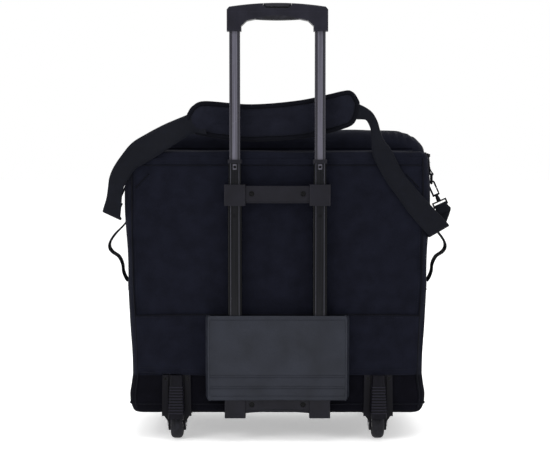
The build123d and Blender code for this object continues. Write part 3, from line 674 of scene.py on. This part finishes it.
def build_shell():
    """The bag's four walls and base in one skin."""
    fillet = 0.0075
    foot = BASE - 0.0028
    rows = [(foot + 0.0004, inset) for inset in (0.128, 0.11, 0.09, 0.06, 0.03)]
    for k in range(1, 7):
        turn = k / 6 * math.pi / 2
        rows.append((foot + fillet * (1 - math.cos(turn)), fillet * (1 - math.sin(turn))))
    rows += [(z, 0.0) for z in np.linspace(foot + fillet + 0.003, RIM - 0.0005, 116)]
    grid = []
    for z, inset in rows:
        radius = max(CORNER - inset * 0.1, 0.004) if inset < 0.1 else 0.01
        pts, out = round_plan(width_at(z) - inset, BACK + inset, FRONT - inset, radius)
        row = []
        for (x, y), (nx, ny) in zip(pts, out):
            move = shell_offset(x, y, z, nx, ny) if inset < 0.02 else 0
            row.append((x + nx * move, y + ny * move, z))
        grid.append(row)
    grid = np.array(grid)
    build = Build()
    build.grid(grid, close_v=True)
    build.faces.append(tuple(reversed(range(grid.shape[1]))))
    names = ["back_panel", "front_panel", "side_panel_left", "side_panel_right", "base_panel"]
    shell = build.piece("bag_shell", "bag", "body_fabric", None, names)
    add_wall(shell, 0.0065, lining_look, base_look, lining_look)
    for face in shell.data.polygons:
        if face.center.z < BASE_TOP:
            face.material_index = 2


def rim_line(z, out, start):
    """The mouth's line round the sides and front, from the left side to the right."""
    half = float(width_at(z)) + out
    r = CORNER
    y1 = FRONT + out
    q = np.linspace(0, math.pi / 2, 12)
    right = [(half, start)] + [(half - r + r * math.cos(t), y1 - r + r * math.sin(t)) for t in q]
    left = [(-x, y) for x, y in reversed(right)]
    path = np.array([(x, y, z) for x, y in right + left])
    return path[::-1]


def build_top_strip():
    """The band behind the lid: it folds over from the back face and runs in to the hinge."""
    build = Build()
    profile = [(0.5, 553.5), (0.4, 557), (0.6, 561), (1.6, 564.6), (4.0, 566.2), (10, 566.4)]
    profile += [(22, 565.9), (34, 565.7), (43, 565.6), (47, 564.8), (47.6, 561), (47.6, 557)]
    line = even(np.array(profile) * MM, 30)
    xs = np.linspace(-1, 1, 150)
    half = 0.2935
    grid = []
    for d, z in line:
        row = []
        for a in xs:
            end = max(abs(a) - 0.93, 0) / 0.07
            x = a * half
            sag = 0.0016 * ripples(np.array(x), np.array(d * 3), 21, 6, 10, 40) * ease(z, 0.5575, 0.565)
            drop = 0.007 * end**3 * ease(z, 0.556, 0.566)
            row.append((x, BACK + d + 0.016 * end**3, z + sag - drop))
        grid.append(row)
    add_slab(build, np.array(grid), 0.0022)
    build.piece("top_strip", "bag", "body_fabric", None, ["rear_top_strip"])


def build_bag_trim():
    """Welts down the corners, across the band and round the base, and their stitching."""
    welts = Build()
    threads = Build()
    along_x, base_z = (1, 0, 0), 0.0705
    lean = math.sqrt(0.5)
    for side in (-1, 1):
        line = [(side * (width_at(z) - 0.0128), BACK - 0.0004, z) for z in np.linspace(0.064, 0.554, 60)]
        add_tube(welts, line, 0.0016, 8, up=along_x)
        inner = [(side * (width_at(z) - 0.0185), BACK - 0.0006, z) for z in np.linspace(0.25, 0.536, 50)]
        add_stitches(threads, inner)
        line = []
        for z in np.linspace(0.070, 0.548, 90):
            x, y = side * (width_at(z) - 0.0053), FRONT - 0.0053
            move = lean * shell_offset(x, y, z, side * lean, lean)
            line.append((x + side * move, y + move, z))
        add_tube(welts, line, 0.0017, 8, up=along_x)
        path = [(side * x, BACK - 0.0007, z) for x, z in ((0.2508, 0.5226), (0.264, 0.5095), (0.276, 0.4960))]
        add_tube(welts, even(path, 12), 0.0011, 6, flat=0.6, up=(0, 1, 0))
        add_stitches(threads, [(x - side * 0.004, y, z - 0.004) for x, y, z in path])
    xs = np.linspace(-0.279, 0.279, 80)
    band = [(x, BACK - 0.0004 + 0.0008 * (abs(x) < GRIP_CLEAR), BAND_Z - 0.0006) for x in xs]
    add_tube(welts, band, 0.0010, 6, up=(0, 1, 0))
    xs = np.linspace(-0.277, 0.277, 60)
    for up in (0.0036, 0.0084):
        row = [(x, BACK - 0.0010 * (abs(x) >= GRIP_CLEAR), BAND_Z + up) for x in xs]
        add_stitches(threads, row)
    pts = round_plan(float(width_at(base_z)) + 0.0004, BACK - 0.0003, FRONT + 0.0004, CORNER)[0]
    add_tube(welts, [(x, y, base_z) for x, y in pts], 0.0016, 6, closed=True)
    welts.piece("bag_welts", "bag", "body_fabric", binding_look)
    threads.piece("bag_stitching", "bag", "body_fabric", thread_look)


def build_skirt():
    """Overlay across the lower back, loose at its hem."""
    build = Build()
    zs = np.linspace(0, 1, 34)
    xs = np.linspace(-1, 1, 190)
    grid = np.zeros((len(zs), len(xs), 3))
    for i, v in enumerate(zs):
        for j, a in enumerate(xs):
            low = 0.1285 + 0.0022 * math.sin(a * 5.3 + 0.7) + 0.002 * a * a
            z = low + (0.2462 - low - 0.002 * abs(a) ** 6) * v
            x = a * (float(width_at(z)) - 0.0135)
            loose = (1 - v) ** 1.4
            folds = 0.55 * math.sin(x * 61 + 2.2 * v) + 0.45 * math.sin(x * 103 - 1.4 * v + 1)
            end = 1 - abs(a) ** 12
            depth = -1.35 - end * (0.75 + 0.9 * loose * folds + 0.35 * math.sin(x * 29 + z * 55))
            grid[i, j] = (x, BACK + depth * MM, z)
    add_slab(build, grid, 0.0014)
    hem = grid[0] + (0, -0.0004, 0.0012)
    add_tube(build, hem, 0.0015, 6, flat=1.3, up=(0, 1, 0))
    skirt = build.piece("back_overlay", "bag", "body_fabric", None, ["rear_skirt"])
    threads = Build()
    welt = Build()
    add_stitches(threads, grid[3] + (0, -0.0008, 0))
    add_stitches(threads, grid[-2] + (0, -0.0008, 0))
    add_tube(welt, grid[-1] + (0, -0.0002, 0.0006), 0.0014, 8, up=(0, 1, 0))
    thread = threads.piece("overlay_stitching", "bag", "body_fabric", thread_look)
    roll = welt.piece("overlay_welt", "bag", "body_fabric", binding_look)


def build_patch():
    """Stiff cover over the lower tubes: it bridges them and is sewn down at both sides."""
    low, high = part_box("trolley_patch")
    half = high.x

    def front_at(x, z):
        a = abs(x)
        rise = ease(a, half - 0.0003, half - 0.0065)
        between = 1.4 * bump_at(x, 0, 0.045) + 0.35 * ripples(np.array(x), np.array(z), 31, 5, 20, 60)
        pinch = 0.5 * (bump_at(z, 0.1297, 0.003) + bump_at(z, 0.1082, 0.003))
        return BACK + (-4.4 - (23.0 - between - pinch) * float(rise)) * MM

    zs = np.linspace(low.z, high.z, 70)
    t = np.linspace(-1, 1, 130)
    xs = np.sign(t) * (1 - (1 - np.abs(t)) ** 1.5)
    thick = 0.0022
    grid = []
    for z in zs:
        wide = half - corner_cut(min(z - low.z, high.z - z), 0.0045)
        grid.append([(a * wide, front_at(a * wide, z) + thick / 2, z) for a in xs])
    build = Build()
    add_slab(build, np.array(grid), thick)
    patch = build.piece("tube_cover", "bag", "patch_leatherette", None, ["trolley_patch"])
    threads = Build()
    edge = 0.0082
    rounding = 0.003
    q = np.linspace(0, math.pi / 2, 6)
    cx, top, bottom = half - edge - rounding, high.z - edge - rounding, low.z + edge + rounding
    loop = []
    for x0, z0, turn in ((cx, top, 0), (cx, bottom, 1), (-cx, bottom, 2), (-cx, top, 3)):
        for t in q + turn * math.pi / 2:
            loop.append((x0 + rounding * math.sin(t), z0 + rounding * math.cos(t)))
    rows = [even(loop + loop[:1], 260)]
    for z in (0.1318, 0.1276, 0.1103, 0.1061):
        rows.append([(x, z) for x in np.linspace(-half + 0.0085, half - 0.0085, 90)])
    for row in rows:
        path = [(x, front_at(x, z) - 0.0002, z) for x, z in row]
        add_stitches(threads, path, (0, -1, 0), 3.6 * MM, 2.6 * MM)
    thread = threads.piece("cover_stitching", "bag", "patch_leatherette", thread_look)


# ---- lid


def mound_rows(x_half, y0, y1, corner, nx, ny):
    """Grids over a rounded rectangle: x, y, distance from the sides, and from the ends."""
    rows = []
    for y in np.linspace(y0, y1, ny):
        e = min(y - y0, y1 - y)
        half = x_half - corner_cut(e, corner)
        t = np.linspace(-1, 1, nx)
        t = np.sign(t) * (1 - (1 - np.abs(t)) ** 1.25)
        rows.append([(a * half, y, half - abs(a * half), e) for a in t])
    return np.moveaxis(np.array(rows), -1, 0)


def build_lid():
    """Crowned soft lid with pleats at its back corners."""
    half = float(width_at(0.56)) - 0.0005
    y0, y1 = LID_BACK + 0.0006, FRONT - 0.0006
    x, y, ex, ey = mound_rows(half, y0, y1, 0.03, 150, 84)

    def bow(e, reach, power=2.3):
        t = np.clip(e / reach, 0, 1)
        return (1 - (1 - t) ** power) ** (1 / power)

    crown = 5 + 39.5 * bow(ex, 0.06, 1.8) * bow(ey, 0.036)
    crown += 9.5 * np.clip(1 - (x / half) ** 2, 0, 1) * bow(ey, 0.12)
    soft = ripples(x, y, 41, 7, 9, 30)
    fine = ripples(x, y, 43, 8, 40, 110)
    inside = bow(ex, 0.02) * bow(ey, 0.02)
    crown += inside * (1.6 * soft + 0.5 * fine)
    near = np.exp(-((y - y0) / 0.05) ** 2)
    for sx in (-1, 1):
        around = bump_at(x, sx * 0.243, 0.03)
        crown -= inside * near * around * (2.2 + 3.0 * np.sin((x * sx - 0.2) * 420 + y * 60))
        crown += inside * near * bump_at(x, sx * 0.272, 0.012) * 1.6 * np.sin(y * 300)
    base = 0.559
    top = np.stack([x, y, base + crown * MM], -1)
    build = Build()
    build.grid(top)
    edge = border(top)
    out = unit(np.stack([edge[:, 0] * 0.35, edge[:, 1] - (y0 + y1) / 2, np.zeros(len(edge))], -1))
    skirt = []
    for share in np.linspace(0, 1, 7):
        row = edge.copy()
        row[:, 2] = edge[:, 2] + (base - 0.001 - edge[:, 2]) * share
        puff = math.sin(share * math.pi) * 0.0012
        row[:, :2] += out[:, :2] * puff * (edge[:, 1:2] > y0 + 0.01)
        skirt.append(row)
    build.grid(np.array(skirt), close_v=True, flip=True)
    lid = build.piece("soft_lid", "lid", "body_fabric", None, ["lid_panel"])
    add_weld(lid)
    add_wall(lid, 0.0055, lining_look)


def build_hinge_flap():
    """Cloth that joins the band to the lid across the hinge."""
    profile = [(42.0, 566.6), (45.0, 567.2), (48.0, 567.4), (51.0, 567.4), (53.0, 569.5), (54.0, 573.0)]
    line = spline(np.array(profile) * MM, 16)
    xs = np.linspace(-0.268, 0.268, 60)
    grid = np.array([[(x, BACK + d - 0.0022 * ease(z, 0.568, 0.573), z) for x in xs] for d, z in line])
    build = Build()
    add_slab(build, grid, 0.0016)
    flap = build.piece("hinge_flap", None, "body_fabric")
    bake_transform(flap)


# ---- zip


def build_zip():
    """The two tapes and their teeth round the mouth, and the tabs at the tapes' ends."""
    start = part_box("body_zip_row")[0].y
    rows = (("body", "bag", 0.5512, 0.5568, "body_zip_row"), ("lid", "lid", 0.5583, 0.5638, "lid_zip_row"))
    for name, body, low, high, node in rows:
        build = Build()
        lines = [rim_line(z, 0.0010, start) for z in np.linspace(low, high, 5)]
        grid = np.array([even(line, 420) for line in lines])
        grid[..., 2] = np.linspace(low, high, 5)[:, None]
        add_slab(build, grid, 0.0011)
        build.piece(f"{name}_zip_tape", body, "zip_tape", None, [node])
        teeth = Build()
        line = even(rim_line((low + high) / 2, 0.0017, start), 470)
        step = unit(np.gradient(line, axis=0))
        out = np.stack([-step[:, 1], step[:, 0], np.zeros(len(step))], -1)
        out = out * np.sign((out * line).sum(1))[:, None]
        near, sign, first = (high, 1, 2) if body == "bag" else (low, -1, 3)
        for k in range(first, len(line) - 2, 2):
            c, t, n = line[k], step[k], out[k]
            corners = []
            for dz, wide, thick in ((-2.3, 0.62, 0.35), (-0.6, 0.8, 0.6), (0.45, 0.95, 0.75)):
                z = near + sign * dz * MM
                for a, b in ((-1, -1), (1, -1), (1, 1), (-1, 1)):
                    at = c + t * a * wide * MM + n * b * thick * MM * 0.6
                    corners.append((at[0], at[1], z))
            teeth.grid(np.array(corners).reshape(3, 4, 3), close_v=True, flip=sign < 0)
            m = len(teeth.verts)
            teeth.faces.append(tuple(m - 4 + i for i in (range(4) if sign > 0 else reversed(range(4)))))
        teeth.piece(f"{name}_zip_teeth", body, "zip_tape", teeth_look, smooth=False)
    tab = Build()
    for side in (-1, 1):
        xs = np.linspace(0.2815, 0.2905, 5) * side
        ys = BACK + 0.0015 + 0.006 * ease(np.abs(xs), 0.2845, 0.2905)
        grid = np.array([[(x, y, z) for x, y in zip(xs, ys)] for z in np.linspace(0.5495, 0.5555, 4)])
        add_slab(tab, grid, 0.0012)
    tab.piece("zip_end_tabs", "bag", "zip_tape", label_look)


# ---- pad and straps


def build_pad():
    """Shoulder pad: an outline with a bound edge and a padded, sewn middle."""
    left, right = (-0.1765, 0.640), (0.1605, 0.664)
    over = [(-0.166, 0.655), (-0.140, 0.6645), (-0.051, 0.6585), (0.045, 0.6665)]
    over += [(0.128, 0.6838), (0.148, 0.682)]
    under = [(-0.177, 0.620), (-0.158, 0.6010), (-0.085, 0.5885), (-0.014, 0.5872), (0.065, 0.5945)]
    under += [(0.138, 0.6145), (0.156, 0.634)]
    top = spline([left, *over, right], 120)
    low = spline([left, *under, right], 120)
    outline = np.vstack([top, low[::-1][1:-1]])
    outline = even(np.vstack([outline, outline[:1]]), 241)[:-1]
    spine_x = np.clip(outline[:, 0], -0.125, 0.112)
    mid = 0.6232 + (spine_x + 0.0065) * 0.075 + 0.55 * (spine_x + 0.0065) ** 2
    centre = np.stack([spine_x, mid], 1)
    build = Build()
    rim = 0.0088
    mean = dep(13)
    reach = np.linalg.norm(outline - centre, axis=1)
    front, back = [], []
    for r in np.r_[np.linspace(0, 0.72, 12), np.linspace(0.76, 1.0, 16)]:
        p = centre + (outline - centre) * r
        gap = reach * (1 - r)
        puff = 7.4 * (1 - np.exp(-np.clip(gap - rim, 0, 1) / 0.010)) + 1.7
        edge = 2.5 * np.sqrt(np.clip(1 - ((gap - rim / 2) / (rim / 2)) ** 2, 0, 1))
        thick = np.where(gap > rim, puff, np.maximum(edge, 0.35))
        thick = thick - 1.0 * bump_at(gap, rim, 0.0013)
        thick = thick + np.where(gap > rim + 0.006, 0.45 * ripples(p[:, 0], p[:, 1], 51, 7, 25, 90), 0)
        thick = thick * MM
        front.append(np.stack([p[:, 0], mean - thick, p[:, 1]], 1))
        back.append(np.stack([p[:, 0], mean + thick * 0.95, p[:, 1]], 1))
    build.grid(np.array(front), close_v=True, flip=True)
    build.grid(np.array(back[::-1]), close_v=True, flip=True)
    pad = build.piece("padded_rest", "bag", "pad_fabric", None, ["shoulder_pad"])
    add_weld(pad, 0.0002)
    bound = Build()
    path = centre + (outline - centre) * (1 - 0.0042 / reach[:, None])
    add_tube(bound, [(x, mean, z) for x, z in path], 0.0046, 10, closed=True, flat=0.62, up=(0, 1, 0))
    bound.piece("pad_binding", "bag", "pad_fabric", binding_look)
    threads = Build()
    path = centre + (outline - centre) * (1 - 0.0098 / reach[:, None])
    path = np.vstack([path, path[:1]])
    add_stitches(threads, [(x, mean - 0.0022, z) for x, z in path])
    threads.piece("pad_stitching", "bag", "pad_fabric", thread_look)


def drape_depth(z):
    """Depth of the strap: against the back face, then in over the top of the bag."""
    return -4.6 + 17.6 * ease(z, 0.566, 0.622)


def ribbon(build, stations):
    """Webbing through (outer x, outer z, inner x, inner z, outer depth, inner depth) in mm."""
    n, across, cup = 150, 9, 0.6
    path = spline(stations, n)
    grid = np.zeros((n, across, 3))
    for i, (ox, oz, ix, iz, od, idp) in enumerate(path):
        for j, t in enumerate(np.linspace(0, 1, across)):
            depth = od + (idp - od) * t - cup * math.sin(math.pi * t)
            grid[i, j] = ((ox + (ix - ox) * t) * MM, dep(depth), (oz + (iz - oz) * t) * MM)
    add_slab(build, grid, 1.7 * MM)
    return grid


def build_straps():
    """Shoulder webbing: draped over the top corners, folded, and up round each hook's bar."""
    turn = [(14.5, -14.0, 26.4), (12.2, -4.0, 27.8), (11.6, 2.2, 28.6), (11.5, 4.2, 26.0)]
    turn += [(11.6, 2.0, 23.4), (12.6, -6.0, 23.2), (13.5, -15.0, 23.8)]
    left = [(-150, 650, -138, 600), (-176, 638, -163, 603), (-219, 620, -200, 581), (-255, 601, -232, 560)]
    left += [(-283, 583, -261, 542.5), (-303, 559, -277, 533), (-319, 535, -290, 514), (-327, 515, -299, 499)]
    left += [(-330, 494, -303, 481), (-333, 475, -304.5, 462)]
    right = [(143, 664, 138, 634), (163, 657, 154, 630), (179, 648, 167, 629.5), (188, 639, 175, 627)]
    right += [(196, 624, 182.5, 611), (201, 606, 184, 592), (208, 587, 184.5, 569), (221.5, 569, 189, 552)]
    right += [(243, 527, 212, 509), (262, 503, 232, 482), (281, 481, 251, 455), (306, 454, 274, 427)]
    for name, side, top, low_out, low_in in (
        ("left", -1, left, (-340, 451), (-307, 435.5)),
        ("right", 1, right, (333, 424), (296, 402)),
    ):
        stations = []
        for ox, oz, ix, iz in top:
            stations.append((ox, oz, ix, iz, drape_depth(oz * MM), drape_depth(iz * MM)))
        (ox, oz), (ix, iz) = low_out, low_in
        stations.append((ox, oz + 1, ix, iz + 1, -4.2, -4.2))
        stations.append((ox, oz - 2.2, ix, iz - 2.2, 2.0, 2.0))
        stations.append((ox, oz - 2.4, ix, iz - 2.4, 13.0, 13.0))
        stations.append((ox - side * 1, oz + 0.5, ix + side * 1, iz + 0.5, 21.0, 21.0))
        bar_x, bar_z = 322.8, 459.6
        lean = math.radians(24)
        for w, up, back in turn:
            cx = bar_x - up * math.sin(lean)
            cz = bar_z + up * math.cos(lean)
            dx, dz = w * math.cos(lean), w * math.sin(lean)
            stations.append((side * (cx + dx), cz + dz, side * (cx - dx), cz - dz, back, back))
        build = Build()
        grid = ribbon(build, stations)
        build.piece(f"shoulder_web_{name}", "bag", "webbing", None, [f"strap_{name}"])
        threads = Build()
        for column in (1, -2):
            row = grid[4:84, column] + (0, -0.0009, 0)
            add_stitches(threads, row, (0, -1, 0), 5 * MM, 3.2 * MM, 0.3 * MM)
        threads.piece(f"web_stitching_{name}", "bag", "webbing", thread_look)


def side_face(z):
    return float(width_at(z)) + 0.0012


def build_tabs():
    """Folded ring tabs and the sewn ends of the grab handles."""
    build = Build()
    threads = Build()
    ring_x, ring_z = 303.5, 522.0
    for side in (-1, 1):
        turn = [(ring_x + 2.9 * math.cos(a), ring_z + 2.9 * math.sin(a)) for a in np.linspace(1.2, -3.6, 12)]
        path = [(298.6, 547.0), (299.2, 538.0), (300.8, 531.0)] + turn + [(299.2, 530.0), (297.8, 541.0)]
        line = spline(np.array(path) * MM, 44)
        ys = np.linspace(dep(18.6), dep(33.4), 7)
        add_slab(build, np.array([[(side * x, y, z) for y in ys] for x, z in line]), 0.0013)
        x_out = side * 0.3004
        for z in (0.5445, 0.5350):
            row = [(x_out, dep(19.5), z), (x_out, dep(32.5), z)]
            add_stitches(threads, row, (side, 0, 0), 2.6 * MM, 1.9 * MM)
        for low, high in ((0.286, 0.312), (0.424, 0.450)):
            zs = np.linspace(low, high, 10)
            ys = np.linspace(dep(51.2), dep(88.8), 12)
            grid = np.array([[(side * (side_face(z) + 0.0012), y, z) for y in ys] for z in zs])
            add_slab(build, grid, 0.0022)
            x = side * (side_face((low + high) / 2) + 0.0024)
            y0, y1, z0, z1 = dep(54), dep(86), low + 0.003, high - 0.003
            box = [(y0, z0), (y1, z0), (y1, z1), (y0, z1), (y0, z0), (y1, z1)]
            for seam in (box, [(y1, z0), (y0, z1)]):
                add_stitches(threads, [(x, y, z) for y, z in seam], (side, 0, 0), 3.2 * MM, 2.3 * MM)
    build.piece("web_tabs", "bag", "webbing", None, ["sewn_tabs"])
    threads.piece("tab_stitching", "bag", "webbing", thread_look)


def build_grab_handles():
    """Slack webbing loops, with their ends at the bag's sides and the middle bowed out."""
    for name, side in (("left", -1), ("right", 1)):
        path = [(299.5, 306.0), (304.5, 313.0), (309.4, 326.0), (311.2, 340.0), (318.5, 354.5)]
        path += [(330.5, 363.5), (336.2, 371.5), (336.8, 380.5), (332.0, 391.0), (323.0, 403.0)]
        path += [(311.5, 415.0), (301.5, 427.0), (299.6, 436.0)]
        line = spline(np.array(path) * MM, 76)
        us = np.linspace(-1, 1, 9)
        grid = np.zeros((len(line), len(us), 3))
        for i, (x, z) in enumerate(line):
            share = math.sin(math.pi * i / (len(line) - 1))
            for j, u in enumerate(us):
                bow = 0.0016 * share * (1 - u * u)
                y = dep(70 + u * (18.7 - 1.2 * share))
                grid[i, j] = (side * (x - bow * 0.6), y, z + 0.0012 * share * math.sin(3 * u + 6 * share))
        build = Build()
        add_slab(build, grid, 0.0021)
        node = f"side_handle_{name}"
        handle = build.piece(f"grab_web_{name}", None, "webbing", None, [node])
        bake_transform(handle)


# ---- inside


def build_cups():
    """Foam cups for the lower pair of balls, with rounded shoulders."""
    low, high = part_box("foam_cups")
    build = Build()
    ball = 0.111
    for side in (-1, 1):
        cx, cy = side * 0.130, dep(138)
        x, y, ex, ey = mound_rows(0.1195, cy - 0.1195, cy + 0.1195, 0.03, 60, 60)
        e = np.minimum(ex, ey)
        rounding = 0.006 * (1 - np.sqrt(np.clip(1 - (1 - np.clip(e / 0.006, 0, 1)) ** 2, 0, 1)))
        flat = high.z - rounding - 0.0005
        r2 = np.clip(ball**2 - x**2 - (y - cy) ** 2, 0, None)
        bowl = low.z + 0.008 + ball - np.sqrt(r2)
        z = np.minimum(flat, bowl)
        top = np.stack([x + cx, y, z], -1)
        build.grid(top)
        edge = border(top)
        low_edge = edge.copy()
        low_edge[:, 2] = low.z
        build.grid(np.array([edge, low_edge]), close_v=True, flip=True)
        start = len(build.verts) - len(edge)
        build.faces.append(tuple(start + i for i in range(len(edge))))
    cups = build.piece("ball_cups", "bag", "foam", None, ["foam_cups"])
    add_weld(cups)


def build_divider():
    """Padded divider: two quilted faces with a bound edge."""
    low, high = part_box("centre_divider")
    ys = np.linspace(low.y + 0.002, high.y - 0.002, 50)
    zs = np.linspace(low.z + 0.001, high.z - 0.001, 80)
    y, z = np.meshgrid(ys, zs)
    e = np.minimum(np.minimum(y - ys[0], ys[-1] - y), np.minimum(z - zs[0], zs[-1] - z))
    wave_y, wave_z = (np.abs(np.sin((a - b) * math.pi / 0.07)) for a, b in ((y, ys[0]), (z, zs[0])))
    quilt = 0.0009 * np.minimum(wave_z, wave_y + 0.3)
    thick = 0.0016 + 0.0024 * ease(e, 0, 0.008) + quilt * ease(e, 0.004, 0.02)
    build = Build()
    build.grid(np.stack([thick, y, z], -1))
    build.grid(np.stack([-thick, y, z], -1), flip=True)
    loop = [(0, ys[0], zs[0]), (0, ys[-1], zs[0]), (0, ys[-1], zs[-1]), (0, ys[0], zs[-1]), (0, ys[0], zs[0])]
    add_tube(build, even(loop, 140)[:-1], 0.0026, 8, closed=True, up=(1, 0, 0))
    divider = build.piece("divider_panel", "bag", "body_fabric", lining_look, ["centre_divider"])


# ---- stage


def build_stage():
    """Plain pale floor."""
    material, tree, at = make_material("floor_white")
    cloud = noise(tree, at, 2, 2)
    tint = blend_colours(tree, cloud, (0.90, 0.90, 0.90), (0.93, 0.93, 0.93))
    glow = dict(Emission_Color=(1, 1, 1, 1), Emission_Strength=0.4)
    shade(tree, tint, spread(tree, cloud, 0.8, 0.9), [], Specular_IOR_Level=0.1, **glow)
    reach = 14.0
    mesh = bpy.data.meshes.new("floor")
    corners = [(-reach, -reach, 0), (reach, -reach, 0), (reach, reach, 0), (-reach, reach, 0)]
    mesh.from_pydata(corners, [], [(0, 1, 2, 3)])
    mesh.materials.append(material)
    add_object("floor", mesh)


def add_light(name, place_at, aim, size, power):
    data = bpy.data.lights.new(name, "AREA")
    data.shape = "RECTANGLE"
    data.size, data.size_y = size
    data.energy = power
    light = add_object(name, data)
    light.location = place_at
    direction = np.array(aim) - np.array(place_at)
    light.rotation_euler = Vector(direction).to_track_quat("-Z", "Y").to_euler()


def build_camera():
    """Level with the lid, square to the back face."""
    data = bpy.data.cameras.new("camera")
    distance = 2.5
    data.sensor_width = 36
    data.lens = 36 * distance / 1.0725
    data.shift_y = -0.0508
    camera = add_object("camera", data)
    camera.location = (-0.0047, BACK - distance, 0.600)
    camera.rotation_euler = (math.radians(90 - 2.8), 0, 0)
    scene.camera = camera


def build_world():
    """Even white surroundings, brighter beyond the bag than on the side of its wheels."""
    world = bpy.data.worlds.new("studio")
    scene.world = world
    world.use_nodes = True
    tree = world.node_tree
    background = tree.nodes["Background"]
    background.inputs[0].default_value = (1, 1, 1, 1)
    direction = put(tree, "ShaderNodeTexCoord").outputs["Generated"]
    toward_front = along(tree, direction, (0, 1, 0))
    tree.links.new(spread(tree, toward_front, 0.6, 1.0, -0.35, 0.3), background.inputs[1])
    scene.view_settings.view_transform = "Standard"


build_camera()
build_world()
build_stage()
add_light("key", (-1.9, -2.3, 2.3), (0, 0, 0.45), (1.4, 1.4), 28)
add_light("fill", (2.4, -1.6, 1.1), (0, 0, 0.4), (0.8, 2.0), 14)
add_light("edge_left", (-2.4, -0.5, 0.9), (0, 0, 0.4), (0.5, 2.0), 11)
add_light("top", (0.1, -0.3, 2.8), (0, 0, 0.4), (2.4, 1.8), 24)
add_light("behind", (1.6, 2.4, 1.8), (0, 0, 0.5), (1.4, 1.4), 12)
for build_part in (build_shell, build_top_strip, build_bag_trim, build_skirt, build_patch, build_lid):
    build_part()
for build_part in (build_hinge_flap, build_zip, build_pad, build_straps, build_tabs, build_grab_handles):
    build_part()
build_cups()
build_divider()
